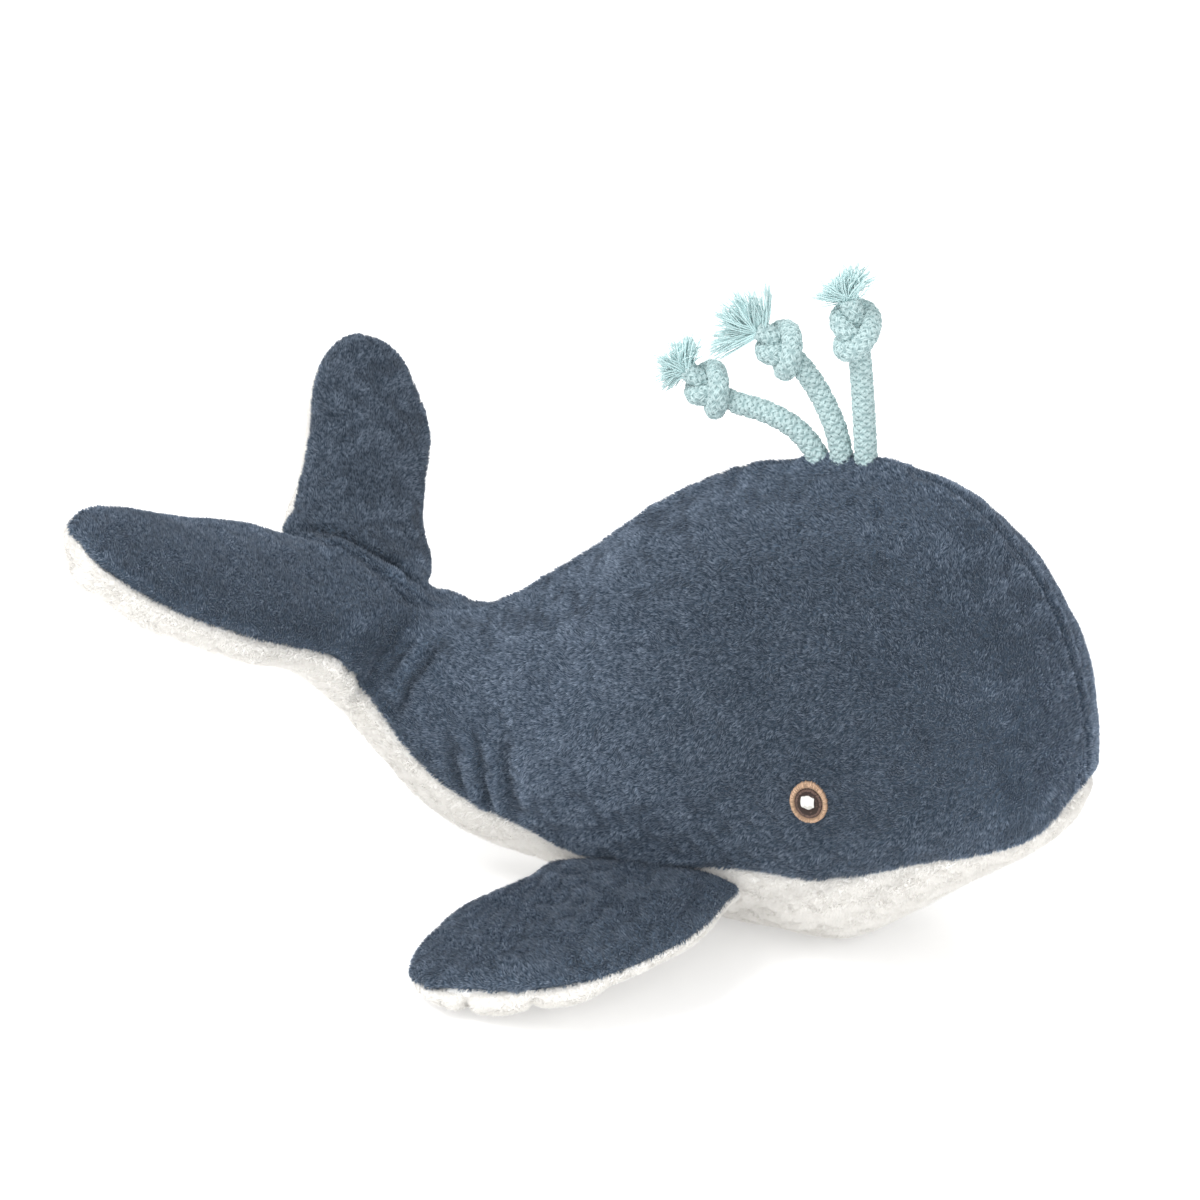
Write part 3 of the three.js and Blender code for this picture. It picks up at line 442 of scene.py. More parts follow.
def section(s):
    """Values of the oval at s, its outward and upward directions and the angle where it meets the middle."""
    v = between(stations, s, sizes_of_oval)
    lean, sweep, roll = (np.radians(v[..., k])[..., None] for k in (8, 9, 10))
    zero, one = np.zeros_like(lean), np.ones_like(lean)
    aft = np.concatenate([-np.cos(lean), zero, np.sin(lean)], -1)
    up = np.concatenate([np.sin(lean), zero, np.cos(lean)], -1)
    out = np.cos(sweep) * np.concatenate([zero, one, zero], -1) - np.sin(sweep) * aft
    level = out.copy()
    out = np.cos(roll) * out + np.sin(roll) * up
    up = np.cos(roll) * up - np.sin(roll) * level
    half = np.maximum(v[..., 5], 0)
    flat = np.maximum(half * np.cos(sweep[..., 0]) * np.cos(roll[..., 0]), 1e-7)
    start = -np.arcsin(np.clip(v[..., 1] / flat, 0, 1))
    return v, out, up, start


def into_tip(s, side):
    """Share of the way into the tip of the right fluke, where the white comes up round the edge."""
    return smooth_step(s, 22.4, 24.6) if side < 0 else 0


def seam_of(side):
    """Angle of the blue and white seam of one side, lower under the chin than on the ovals."""
    def at(s):
        chin = 6 * np.exp(-((s - 2.6) / 1.3) ** 2)
        fluke = -26 * into_tip(s, side) if side < 0 else 13 * smooth_step(s, 18.6, 19.8)
        return np.radians(between(stations, s, sizes_of_oval)[..., 7] + chin + fluke)
    return at


def top_of(side):
    return lambda s: section(s)[3] + math.radians(fluke_tip_turn) * into_tip(s, side)


def bottom_of(side):
    return lambda s: np.pi - section(s)[3] + math.radians(fluke_tip_turn) * into_tip(s, side)


def oval_point(s, angle):
    """Points of the outside of the right half, with y counted outwards."""
    v, out, up, _ = section(s)
    cosine = np.cos(angle)
    height = cosine * np.where(cosine > 0, np.maximum(v[..., 3], 0), np.maximum(v[..., 4], 0))
    p = v[..., :3] + (np.maximum(v[..., 5], 0) * np.sin(angle))[..., None] * out + height[..., None] * up
    ridge = np.where(cosine > 0, v[..., 6] * np.exp(-np.abs(p[..., 1]) / 0.009), 0)
    return p + ridge[..., None] * up


def outward_normal(along, around, outward):
    """Direction square to two directions on a surface, on its outside."""
    n = unit(np.cross(along, around))
    return np.where((n * outward).sum(-1)[..., None] < 0, -n, n)


def oval_normal(s, angle):
    t = np.clip(s, 0.03, last_station - 0.03)
    along = oval_point(t + 0.02, angle) - oval_point(t - 0.02, angle)
    around = oval_point(t, angle + 0.01) - oval_point(t, angle - 0.01)
    return outward_normal(along, around, oval_point(t, angle) - section(t)[0][..., :3])


def gathered(p):
    """Points of the left half with its fluke gathered at the root, which makes it narrower."""
    gather, line_behind, tip_behind = 0.23, 0.0082, 0.0025
    y = p[..., 1]
    aft = np.array((-0.848, 0, 0.530))
    weight = smooth_step(y, 0, 0.015) * (1 - smooth_step(y, 0.045, 0.095))
    weight = weight * smooth_step(-p[..., 0], 0.100, 0.118)
    root, tip = stations[19, :3], stations[24, :3]
    line = root + line_behind * aft + ((y - root[1]) / (tip[1] - root[1]))[..., None] * (tip - root)
    inwards = gather * weight * ((p - line) @ aft)
    return p + (tip_behind * smooth_step(y, 0.030, 0.080) - inwards)[..., None] * aft


def wave_field(p, scale, seed):
    """A smooth, repeatable field of values from about -1 to 1 over space."""
    rng = np.random.default_rng(seed)
    total = np.zeros(p.shape[:-1])
    for _ in range(14):
        direction = unit(rng.normal(size=3))
        total += np.sin(p @ direction * 2 * np.pi / (scale * rng.uniform(0.7, 1.5))
                        + rng.uniform(0, 6.283))
    return total / 3.4


# Folds: where the stuffed cloth creases before the tail, at the roots of the flukes and under the belly
# Each holds its height, half of its width and the points of its line in millimetres, y counted outwards.
folds_of_both_sides = [
    (-1.5, 1.5, [(-115.6, 17.2, 73.5), (-118.5, 22, 68.4), (-121, 24.1, 63.5)]),
    (-1.7, 1.8, [(-107.3, 14.7, 75.3), (-109.8, 20.3, 69.9), (-113, 23.4, 64.3), (-115.8, 24.8, 56.5),
                 (-117.8, 24.6, 52.5)]),
    (0.8, 1.9, [(-111.1, 12.6, 76.3), (-113, 17.5, 73), (-115.7, 21.8, 68), (-119.5, 24.3, 61.6)]),
    (0.6, 2.6, [(-93.1, 29.7, 53.7), (-92.1, 29.7, 45.7), (-91.1, 28.7, 37.8), (-90.9, 25.9, 28.7)]),
    (0.6, 2.4, [(-84.8, 31.9, 49.5), (-84.8, 30.9, 41.2), (-83.8, 29.3, 33.8), (-83.7, 26.8, 27.3)]),
    (0.5, 2.6, [(-73.1, 35.4, 50), (-72.4, 34.7, 43.3), (-72.1, 33.3, 36.7), (-73.3, 30, 28.7)]),
    (-1.6, 2.2, [(-98.4, 28.3, 47.7), (-97.5, 27.4, 38.7), (-95.8, 25.6, 30.8)]),
    (-1.7, 2.0, [(-89.1, 30.8, 51.5), (-88.6, 30.2, 42.9), (-87.9, 28.6, 34.6), (-86.7, 26.5, 28.1)]),
    (-1.5, 2.4, [(-79.2, 33.6, 56), (-79.3, 33, 45.5), (-78.4, 31.6, 37.2), (-78, 30, 32)]),
    (-1.1, 3.0, [(7.9, 39.4, 23.6), (14.9, 41.5, 27.7), (22.6, 42.1, 30.5), (25.9, 43.1, 33.5)]),
    (-1.2, 3.2, [(30.5, 33.8, 21.6), (36, 35.8, 26.6), (43.5, 38.1, 33.5), (49.3, 40, 40),
                 (52.5, 39.8, 42.1)]),
    (-0.9, 2.8, [(-5, 31.4, 13.3), (6.5, 38.7, 22.5)]),
]
folds_of_one_side = {
    -1: [
        (-2.2, 1.4, [(-136.8, 0, 89.4), (-132.6, 2.8, 87.9), (-127.9, 3.4, 85.5), (-122.8, 4.6, 82.7),
                     (-119.6, 2.9, 80.6)]),
    ],
    1: [
        (-2.6, 2.2, [(-160.4, 5.9, 95.7), (-151.1, 6.9, 94.6), (-139.2, 6.4, 91.4), (-131.3, 7.1, 87.8),
                     (-126.1, 6.2, 84.7), (-123.4, 6.9, 82.8)]),
        (1.2, 3.0, [(-150.5, 1.5, 94.6), (-139.0, 1.5, 91.4), (-131.0, 1.8, 87.8), (-124.0, 1.8, 83.5)]),
    ],
}


def fold_lift(p, folds):
    """How far the folds raise the points of a surface; a fold ends softly."""
    lift = np.zeros(p.shape[:-1])
    for height, width, line in folds:
        line = np.array(line) / 1000
        nearest = np.full(p.shape[:-1], 1.0)
        for a, b in zip(line, line[1:]):
            along = b - a
            share = np.clip(((p - a) @ along) / (along @ along), 0, 1)
            nearest = np.minimum(nearest, np.linalg.norm(p - a - share[..., None] * along, axis=-1))
        ends = np.minimum(np.linalg.norm(p - line[0], axis=-1), np.linalg.norm(p - line[-1], axis=-1))
        soft = 0.45 + 0.55 * smooth_step(ends, 0, 0.004)
        lift += height / 1000 * soft * np.exp(-(nearest / (width / 1000)) ** 2)
    return lift


def relief(p, angle):
    """Height of the hollows and bulges over the plain ovals: all over, by the cords and under the tail."""
    wave, ripple, crown_height, crown_width, bulge = 0.00030, 0.00007, 0.0019, 0.005, 0.0007
    by_cords = smooth_step(p[..., 0], -0.006, 0.001) * (1 - smooth_step(p[..., 0], 0.024, 0.033))
    under = smooth_step(angle, 1.60, 2.00) * smooth_step(-p[..., 0], 0.112, 0.128)
    return (wave * wave_field(p, 0.034, 21) + ripple * wave_field(p, 0.011, 22)
            + crown_height * by_cords * np.exp(-(p[..., 1] / crown_width) ** 2) * (angle < 1.0)
            + bulge * under * np.maximum(wave_field(p, 0.026, 31), -0.6))


def body_surface(low_angle, high_angle, side, crease_shade):
    """A strip of one side over s and the share u across it: points, outward directions and lightness, with
    painted shade in the hollows of the folds and painted light on their ridges.
    """
    def at(s, u):
        a, b = low_angle(s), high_angle(s)
        angle = a + (b - a) * u
        p, n = oval_point(s, angle), oval_normal(s, angle)
        creases = fold_lift(p, folds_of_both_sides + folds_of_one_side[side])
        light = 1 + crease_shade * np.clip(creases * 1000, -2.0, 0.6)
        p = p + (creases + relief(p, angle))[..., None] * n
        p = gathered(p) if side > 0 else p
        return p * (1, side, 1), n * (1, side, 1), light
    return at


# Plush: short dense knitted pile
# One group of nodes colours every plush piece. Blue and white differ only in their colours and sheen.
def new_group(name, kind, inputs, outputs):
    """A node group with its sockets, and the nodes at its way in and its way out."""
    group = bpy.data.node_groups.new(name, kind)
    for way, sockets in (("INPUT", inputs), ("OUTPUT", outputs)):
        for label, socket in sockets.items():
            group.interface.new_socket(label, in_out=way, socket_type=f"NodeSocket{socket}")
    return group, group.nodes.new("NodeGroupInput"), group.nodes.new("NodeGroupOutput")


plush_look, entry, leave = new_group(
    "plush_look", "ShaderNodeTree", {"Deep": "Color", "Mid": "Color", "Light": "Color"},
    {"Color": "Color", "Normal": "Vector"})
tree = plush_look
coords = node(tree, "ShaderNodeTexCoord")
tip, fleck, lay = (attribute_node(tree, name) for name in ("tip", "fleck", "lay"))
patch, clump = (node(tree, "ShaderNodeTexNoise", Vector=coords.outputs["Object"], Scale=scale, Detail=detail,
                     Roughness=0.5) for scale, detail in ((60.0, 2.0), (760.0, 1.0)))
# Painted shade at the roots of the pile and painted light at its tips; the flecks, clumps and patches are
# tone that differs at random.
total = joined(tree, "ADD", [
    ranged(tree, source.outputs["Fac"], low, high, from_low, from_high)
    for source, low, high, from_low, from_high in (
        (tip, -0.30, 0.50, 0.0, 1.0), (fleck, -0.26, 0.28, 0.0, 1.0),
        (clump, -0.30, 0.26, 0.34, 0.66), (patch, -0.08, 0.08, 0.3, 0.7))])
lifted = node(tree, "ShaderNodeMath", in0=total, in1=0.30)
low_mix = mix_colours(tree, lifted.outputs[0], entry.outputs["Deep"], entry.outputs["Mid"])
over = ranged(tree, total, 0.0, 1.0, from_low=0.40)
whole = mix_colours(tree, over, low_mix, entry.outputs["Light"])
# The colour is scaled by the painted light and shade that the cloth carries for its folds, seams and panel.
tree.links.new(scaled(tree, whole, lay.outputs["Fac"]), leave.inputs["Color"])
nap_bump = node(tree, "ShaderNodeBump", Strength=0.5, Distance=0.0005, Height=clump.outputs["Fac"])
tree.links.new(nap_bump.outputs[0], leave.inputs["Normal"])


def plush_material(name, deep, mid, light, sheen, sheen_tint):
    """Plush that passes some light through the tips of its pile, so that no fleck turns black from below."""
    material, tree = new_material(name)
    look = tree.nodes.new("ShaderNodeGroup")
    look.node_tree = plush_look
    for label, value in (("Deep", deep), ("Mid", mid), ("Light", light)):
        look.inputs[label].default_value = (*value, 1)
    shader = node(tree, "ShaderNodeBsdfPrincipled", Base_Color=look.outputs["Color"], Roughness=0.95,
                  Normal=look.outputs["Normal"], Specular_IOR_Level=0.12, Sheen_Weight=sheen,
                  Sheen_Roughness=0.4, Sheen_Tint=(*sheen_tint, 1))
    through = node(tree, "ShaderNodeBsdfTranslucent", Color=look.outputs["Color"])
    thin = ranged(tree, attribute_node(tree, "tip").outputs["Fac"], 0.0, 0.5, from_high=0.3)
    both = node(tree, "ShaderNodeMixShader", in0=thin, in1=shader.outputs[0], in2=through.outputs[0])
    finish_material(tree, both.outputs[0])
    return material


blue_plush = plush_material("blue_plush", (0.062, 0.088, 0.122), (0.262, 0.318, 0.400),
                            (0.380, 0.445, 0.535), 0.75, (0.66, 0.74, 0.86))
white_plush = plush_material("white_plush", (0.88, 0.868, 0.845), (0.920, 0.908, 0.888),
                             (0.94, 0.932, 0.918), 0.10, (1.0, 0.98, 0.95))

# Pile: thin pointed flecks scattered over the cloth, each leaning along the nap
# Every fleck is one narrow triangle, root to tip, planted where the cloth carries pile.
blade_long, blade_wide, blade_thick = 1.5, 1.732, 0.001


def vector_sum(tree, one, other):
    return node(tree, "ShaderNodeVectorMath", "ADD", in0=one, in1=other).outputs[0]


def stored_value(tree, name, data_type="FLOAT"):
    """A value that the cloth carries under a name."""
    made = node(tree, "GeometryNodeInputNamedAttribute", data_type=data_type, Name=name)
    return made.outputs["Attribute"]


def store_value(tree, geometry, name, domain, value):
    made = node(tree, "GeometryNodeStoreNamedAttribute", data_type="FLOAT", Name=name, Geometry=geometry,
                Value=value)
    made.domain = domain
    return made.outputs[0]


def turned_to(tree, axis, pivot, **inputs):
    """A rotation that brings one axis onto a direction."""
    made = node(tree, "FunctionNodeAlignRotationToVector", **inputs)
    made.axis, made.pivot_axis = axis, pivot
    return made.outputs[0]


pile_group, entry, leave = new_group(
    "plush_pile", "GeometryNodeTree",
    {"Geometry": "Geometry", "Per area": "Float", "Length": "Float", "Width": "Float", "Stand": "Float",
     "Seed": "Int", "Material": "Material"}, {"Geometry": "Geometry"})
tree = pile_group
per_area = joined(tree, "MULTIPLY", [entry.outputs["Per area"], stored_value(tree, "pile")])
scatter = node(tree, "GeometryNodeDistributePointsOnFaces", Mesh=entry.outputs["Geometry"], Density=per_area,
               Seed=entry.outputs["Seed"])
wobble = node(tree, "FunctionNodeRandomValue", data_type="FLOAT_VECTOR", in0=(-0.40, -0.40, -0.40),
              in1=(0.40, 0.40, 0.40), Seed=entry.outputs["Seed"])
lean = vector_sum(tree, scaled(tree, scatter.outputs["Normal"], entry.outputs["Stand"]),
                  stored_value(tree, "nap", "FLOAT_VECTOR"))
point_along = turned_to(tree, "X", "AUTO", Vector=vector_sum(tree, lean, wobble.outputs[0]))
face_out = turned_to(tree, "Z", "X", Vector=vector_sum(tree, scatter.outputs["Normal"], wobble.outputs[0]),
                     Rotation=point_along)
blade = node(tree, "GeometryNodeMeshCircle", Vertices=3, Radius=1.0)
blade.fill_type = "NGON"
shift = node(tree, "GeometryNodeTransform", Geometry=blade.outputs[0], Translation=(blade_long / 3, 0, 0))
place = node(tree, "ShaderNodeSeparateXYZ", Vector=tree.nodes.new("GeometryNodeInputPosition").outputs[0])
tip_share = node(tree, "ShaderNodeMath", "DIVIDE", in0=place.outputs[0], in1=blade_long)
tipped = store_value(tree, shift.outputs[0], "tip", "POINT", tip_share.outputs[0])
long_scale = node(tree, "ShaderNodeMath", "DIVIDE", in0=entry.outputs["Length"], in1=blade_long)
wide_scale = node(tree, "ShaderNodeMath", "DIVIDE", in0=entry.outputs["Width"], in1=blade_wide)
size = node(tree, "ShaderNodeCombineXYZ", X=long_scale.outputs[0], Y=wide_scale.outputs[0], Z=blade_thick)
vary = node(tree, "FunctionNodeRandomValue", data_type="FLOAT", in2=0.72, in3=1.15)
plant = node(tree, "GeometryNodeInstanceOnPoints", Points=scatter.outputs["Points"], Instance=tipped,
             Rotation=face_out, Scale=scaled(tree, size.outputs[0], vary.outputs[1]))
# Each fleck carries the painted light and shade of the cloth where it grows.
with_painted_light = store_value(tree, plant.outputs[0], "lay", "INSTANCE", stored_value(tree, "lay"))
tone = node(tree, "FunctionNodeRandomValue", data_type="FLOAT", Seed=5)
flecked = store_value(tree, with_painted_light, "fleck", "INSTANCE", tone.outputs[1])
real = node(tree, "GeometryNodeRealizeInstances", Geometry=flecked)
# The cloth itself has no tip, so it takes the root colour: painted shade between the flecks.
merge = tree.nodes.new("GeometryNodeJoinGeometry")
tree.links.new(real.outputs[0], merge.inputs[0])
tree.links.new(entry.outputs["Geometry"], merge.inputs[0])
paint = node(tree, "GeometryNodeSetMaterial", Geometry=merge.outputs[0], Material=entry.outputs["Material"])
tree.links.new(paint.outputs[0], leave.inputs["Geometry"])


def apply_modifier(obj, modifier):
    """Put the shape that a modifier gives in place of an object's mesh."""
    obj.update_tag()
    depsgraph = bpy.context.evaluated_depsgraph_get()
    depsgraph.update()
    made = bpy.data.meshes.new_from_object(obj.evaluated_get(depsgraph), depsgraph=depsgraph)
    obj.modifiers.remove(modifier)
    old = obj.data
    obj.data = made
    made.name = obj.name
    bpy.data.meshes.remove(old)
    return made


def with_pile(obj, material, length, seed, width=0.00060, stand=1.35, density=5.2e6):
    """Grow the pile on a piece and keep the result as a plain mesh. density is flecks on a square metre."""
    modifier = obj.modifiers.new("pile", "NODES")
    modifier.node_group = pile_group
    values = {"Per area": density, "Length": length, "Width": width, "Stand": stand, "Seed": seed,
              "Material": material}
    for item in pile_group.interface.items_tree:
        if item.item_type == "SOCKET" and item.in_out == "INPUT" and item.name in values:
            modifier[item.identifier] = values[item.name]
    grown = apply_modifier(obj, modifier)
    grown.polygons.foreach_set("use_smooth", [True] * len(grown.polygons))
    grown.update()


# Cloth: each panel lies under its pile, is drawn in at its sewn edges and turned in behind the seam
# Past a seam drawn in more than a plain one the cloth swells a little, its pile parts over the stitches, and
# painted shade darkens the seam.
under_pile, turned_in, plain_dip = 0.0010, 0.0012, 0.0012
seam_fall, swell_share, swell_place, swell_width = 0.0014, 0.20, 0.0038, 0.0018
parting, pile_edge, seam_shade, shade_width = 0.35, 0.0008, 290, 0.0013
floor_gap, floor_softness = 0.0011, 0.0005


def vector_attribute(obj, name, values):
    attribute = obj.data.attributes.new(name, "FLOAT_VECTOR", "POINT")
    attribute.data.foreach_set("vector", np.asarray(values, np.float32).ravel())


def weld(mesh, distance, shortest=0.0):
    """Merge points that lie together, and drop what has no area."""
    welded = bmesh.new()
    welded.from_mesh(mesh)
    bmesh.ops.remove_doubles(welded, verts=welded.verts, dist=distance)
    if shortest:
        bmesh.ops.dissolve_degenerate(welded, edges=welded.edges, dist=shortest)
    welded.to_mesh(mesh)
    welded.free()


def with_edge(grid, column, edge):
    """A grid with one more column beyond its first or last."""
    return np.concatenate([column[:, None], grid] if edge == 0 else [grid, column[:, None]], 1)


def cloth(name, surface, rows, columns, side, seams, dips=(0.0014, 0.0014), rests=False, lay=None):
    """A sheet of cloth over a grid of rows and columns, with its sewn edges turned in.

    surface(s, u) takes a place along the piece and a share across it and gives points, outward directions
    and the painted light and shade of the cloth. seams says which of the two long edges are sewn, and dips
    how deep the cloth is drawn in at each. The lightness function, where given, adds painted light and shade
    by place, for how the lamps fall on the panel. Cloth that rests on the floor is flat there.
    """
    s = np.repeat(rows[:, None], columns + 1, 1)
    u = np.repeat(np.linspace(0, 1, columns + 1)[None], len(rows), 0)
    p, n, light = surface(s, u)
    light = light if lay is None else light * lay(p)
    across = np.stack([run_along(row) for row in p])
    depth, pile = np.full(s.shape, under_pile), np.ones(s.shape)
    for sewn, dip, here in zip(seams, dips, (across, across[:, -1:] - across)):
        if sewn:
            depth += (dip * np.exp(-(here / seam_fall) ** 2)
                      - swell_share * dip * np.exp(-((here - swell_place) / swell_width) ** 2))
            welt = dip - plain_dip
            pile *= np.clip((here - parting * welt) / pile_edge + 0.5, 0.0, 1)
            light = light * (1 - seam_shade * np.maximum(welt, 0) * np.exp(-(here / shade_width) ** 2))
    q = p - n * depth[..., None]
    if rests:
        above = (q[..., 2] - floor_gap) / floor_softness
        q[..., 2] = floor_gap + floor_softness * np.logaddexp(0, above)
    for sewn, edge in zip(seams, (0, -1)):
        if sewn:
            light = with_edge(light, light[:, edge], edge)
            pile = with_edge(pile, np.zeros(len(rows)), edge)
            q = with_edge(q, q[:, edge] - n[:, edge] * turned_in, edge)
    count = q.shape[1]
    first = (np.arange(len(rows) - 1)[:, None] * count + np.arange(count - 1)[None]).ravel()
    quads = np.stack([first, first + 1, first + count + 1, first + count], 1)[:, ::side]
    obj = mesh_from(name, [(q.reshape(-1, 3), quads.tolist())])
    along = unit(np.gradient(q, axis=0))
    normal = unit(np.cross(np.gradient(q, axis=1), np.gradient(q, axis=0)) * side)
    swirl = 0.35 * wave_field(q, 0.030, 3) + 0.80 * wave_field(q, 0.007, 4)
    nap = along * np.cos(swirl)[..., None] + np.cross(normal, along) * np.sin(swirl)[..., None]
    vector_attribute(obj, "nap", nap)
    float_attribute(obj, "pile", pile.ravel())
    float_attribute(obj, "lay", light.ravel())
    weld(obj.data, 1e-6, 1e-7)
    return obj


def even_rows(low, high, spacing=0.0011):
    """Places along the body at about an even spacing on the cloth."""
    fine = np.linspace(low, high, 4000)
    run = run_along(oval_point(fine, np.full(fine.shape, 1.2)))
    return np.interp(np.linspace(0, run[-1], int(run[-1] / spacing) + 1), run, fine)


# Where the toy bends at the root of a flipper, and the flipper's directions along, out and up
flipper_hinge = np.array((-0.03629, 0.04459, 0.01970))
flipper_along = np.array((0.957909, 0.232511, 0.168374))
level = unit(np.array((-flipper_along[1], flipper_along[0], 0)))
droop = math.radians(7.6)
flipper_out = level * math.cos(droop) - np.cross(flipper_along, level) * math.sin(droop)
flipper_up = np.cross(flipper_along, flipper_out)


def bend(piece, where, side=1, side_name=""):
    """Bake a piece's place into its mesh, alike for the tail, a fluke and a flipper."""
    if where == "tail":
        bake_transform(piece)
    elif where == "fluke":
        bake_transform(piece)
    else:
        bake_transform(piece)


def painted_light_of_back(q):
    """Painted light and shade on the back: darker high in the middle of the head, lighter round it, lightest
    on crown and nose.
    """
    spot = np.linalg.norm(q * (1, 0, 1) - (0.016, 0, 0.088), axis=-1)
    crown, nose = smooth_step(q[..., 2], 0.118, 0.140), smooth_step(q[..., 0], 0.050, 0.080)
    return 0.96 + 0.32 * smooth_step(spot, 0.015, 0.085) + 0.20 * crown + 0.18 * nose


def painted_light_all_over(light):
    """One even level of painted light over a whole panel, which darkens it below one."""
    return lambda q: np.full(q.shape[:2], light)


# The material and the length of the pile of each colour. The white pile is the shorter.
plush_of = {"blue": (blue_plush, 0.00145), "white": (white_plush, 0.00115)}


def panel(name, surface, rows, columns, side, nodes, colour, seed, fill=0.8, seams=(True, True), **more):
    """A panel of blue or white plush with its pile, and what it stands for."""
    piece = cloth(name, surface, rows, columns, side, seams, **more)
    with_pile(piece, *plush_of[colour], seed)
    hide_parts(*nodes)
    return piece


# Body, blue above: one panel each side, joined in a raised seam along the middle of the head and back
# The tail and the top of each fluke are the same plush, cut in the same piece as the side on the real toy.
# The back carries painted light, lighter on the crown and nose; the tail and each fluke carry one even level
# of painted light, the left fluke a little darker than the plain colour.
for side_name, side in (("right", -1), ("left", 1)):
    above = body_surface(top_of(side), seam_of(side), side, crease_shade=0.20)
    rows = even_rows(0.0, 12.5)
    spine = oval_point(rows, top_of(side)(rows))[:, 0]
    by_cords = smooth_step(spine, -0.008, 0.000) * (1 - smooth_step(spine, 0.024, 0.032))
    back = panel(f"{side_name}_back", above, rows, 110, side, [f"{side_name}_side_panel"], "blue", 1,
                 dips=((0.0036 - 0.0033 * by_cords)[:, None], plain_dip), lay=painted_light_of_back)
    bend(back, "tail")
    tail = panel(f"{side_name}_tail", above, even_rows(12.5, 17.6), 80, side, [f"{side_name}_tail_panel"],
                 "blue", 2, dips=(0.0016, plain_dip), lay=painted_light_all_over(1.26))
    bend(tail, "tail")
    fluke = panel(f"{side_name}_fluke_upper", above, even_rows(17.6, last_station), 60, side,
                  [f"{side_name}_fluke_top"], "blue", 3, fill=0.7, lay=painted_light_all_over(1.26 if side < 0 else 0.98))
    bend(fluke, "fluke", side, side_name)

# White plush below: belly, underside of the tail and undersides of the flukes
# The belly is one panel on the real toy. It is drawn in two halves here, which meet unsewn along the middle.
for side_name, side in (("right", -1), ("left", 1)):
    beneath = body_surface(seam_of(side), bottom_of(side), side, crease_shade=0.03)
    half = panel(f"{side_name}_belly", beneath, even_rows(0.0, 14.5), 70, side,
                 ["belly_panel"] if side < 0 else [], "white", 4, seams=(True, False), dips=(plain_dip, 0),
                 rests=True)
    bend(half, "tail")
    low_tail = panel(f"{side_name}_tail_lower", beneath, even_rows(14.5, 17.6), 50, side,
                     [f"{side_name}_tail_underside"], "white", 5, dips=(plain_dip, plain_dip))
    bend(low_tail, "tail")
    under = panel(f"{side_name}_fluke_lower", beneath, even_rows(17.6, last_station), 50, side,
                  [f"{side_name}_fluke_underside"], "white", 6, fill=0.7)
    bend(under, "fluke", side, side_name)

# Flippers: flat padded ovals sewn into the side seam, blue above and white below
# Each row holds the place along the flipper, its front and rear edge, its rise and its drop, in millimetres.
# The white underside bulges past the seam in three lumps along the front edge, counted along the view.
flipper_rows = np.array([
    (-8.3, 35.0, -35.0, 7.3, 7.3), (0.0, 35.7, -36.4, 7.3, 7.8), (9.0, 36.8, -40.6, 7.5, 9.0),
    (20.5, 36.8, -44.1, 7.7, 9.9), (32.0, 33.3, -44.7, 7.7, 9.9), (43.5, 27.0, -43.3, 7.1, 9.4),
    (54.4, 15.4, -38.5, 6.3, 8.3), (60.8, -2.1, -32.6, 4.9, 6.5), (64.0, -23.1, -23.1, 0, 0),
]) / 1000
last_flipper_row = len(flipper_rows) - 1
along_view = np.array((0.9205, -0.3907, 0))
lump_ends = (-0.1102, -0.0953, -0.0766, -0.0570)
lump_height, lump_notch, notch_width = 0.0018, 0.0012, 0.0014
flipper_dips = (0.0010, 0.0010)


def flipper_oval(s):
    """Sizes of the flipper at s and the middle of its oval."""
    v = between(flipper_rows, s, (3, 4))
    forward = (v[..., 1] + v[..., 2]) / 2
    return v, flipper_hinge + v[..., :1] * flipper_out + forward[..., None] * flipper_along


def flipper_point(s, angle):
    v, middle = flipper_oval(s)
    half = np.maximum((v[..., 1] - v[..., 2]) / 2, 0)
    height = np.cos(angle) * np.maximum(np.where(np.cos(angle) > 0, v[..., 3], v[..., 4]), 0)
    return middle + (half * np.sin(angle))[..., None] * flipper_along + height[..., None] * flipper_up


def flipper_surface(low_angle, high_angle, side):
    def at(s, u):
        angle = low_angle + (high_angle - low_angle) * u
        t = np.clip(s, 0.02, last_flipper_row - 0.03)
        n = outward_normal(flipper_point(t + 0.01, angle) - flipper_point(t - 0.01, angle),
                           flipper_point(t, angle + 0.01) - flipper_point(t, angle - 0.01),
                           flipper_point(t, angle) - flipper_oval(t)[1])
        p = flipper_point(s, angle)
        lift = 0.0003 * wave_field(p, 0.030, 41) + 0.0001 * wave_field(p, 0.010, 42)
        front = smooth_step(angle, 1.57, 1.95) * (1 - smooth_step(angle, 2.9, 3.5))
        run = p @ along_view
        for a, b in zip(lump_ends, lump_ends[1:]):
            lift += lump_height * front * np.sin(np.pi * np.clip((run - a) / (b - a), 0, 1)) ** 0.6
        for notch in lump_ends[1:-1]:
            lift -= lump_notch * front * np.exp(-((run - notch) / notch_width) ** 2)
        p = p + lift[..., None] * n
        return p * (1, side, 1), n * (1, side, 1), np.ones(p.shape[:-1])
    return at


# The blue top of each flipper carries one even level of painted light.
for side_name, side in (("right", -1), ("left", 1)):
    rows = np.concatenate([np.linspace(0, last_flipper_row - 1, 64),
                           np.linspace(last_flipper_row - 1, last_flipper_row, 20)[1:]])
    top = panel(f"{side_name}_flipper_upper", flipper_surface(-np.pi / 2, np.pi / 2, side), rows, 76,
                side, [f"{side_name}_flipper_top"], "blue", 7, fill=0.7, dips=flipper_dips, lay=painted_light_all_over(1.17))
    low = panel(f"{side_name}_flipper_lower", flipper_surface(np.pi / 2, 3 * np.pi / 2, side), rows, 76,
                side, [f"{side_name}_flipper_underside"], "white", 8, fill=0.7, dips=flipper_dips,
                rests=True)
    for half in (top, low):
        bend(half, "flipper", side, side_name)

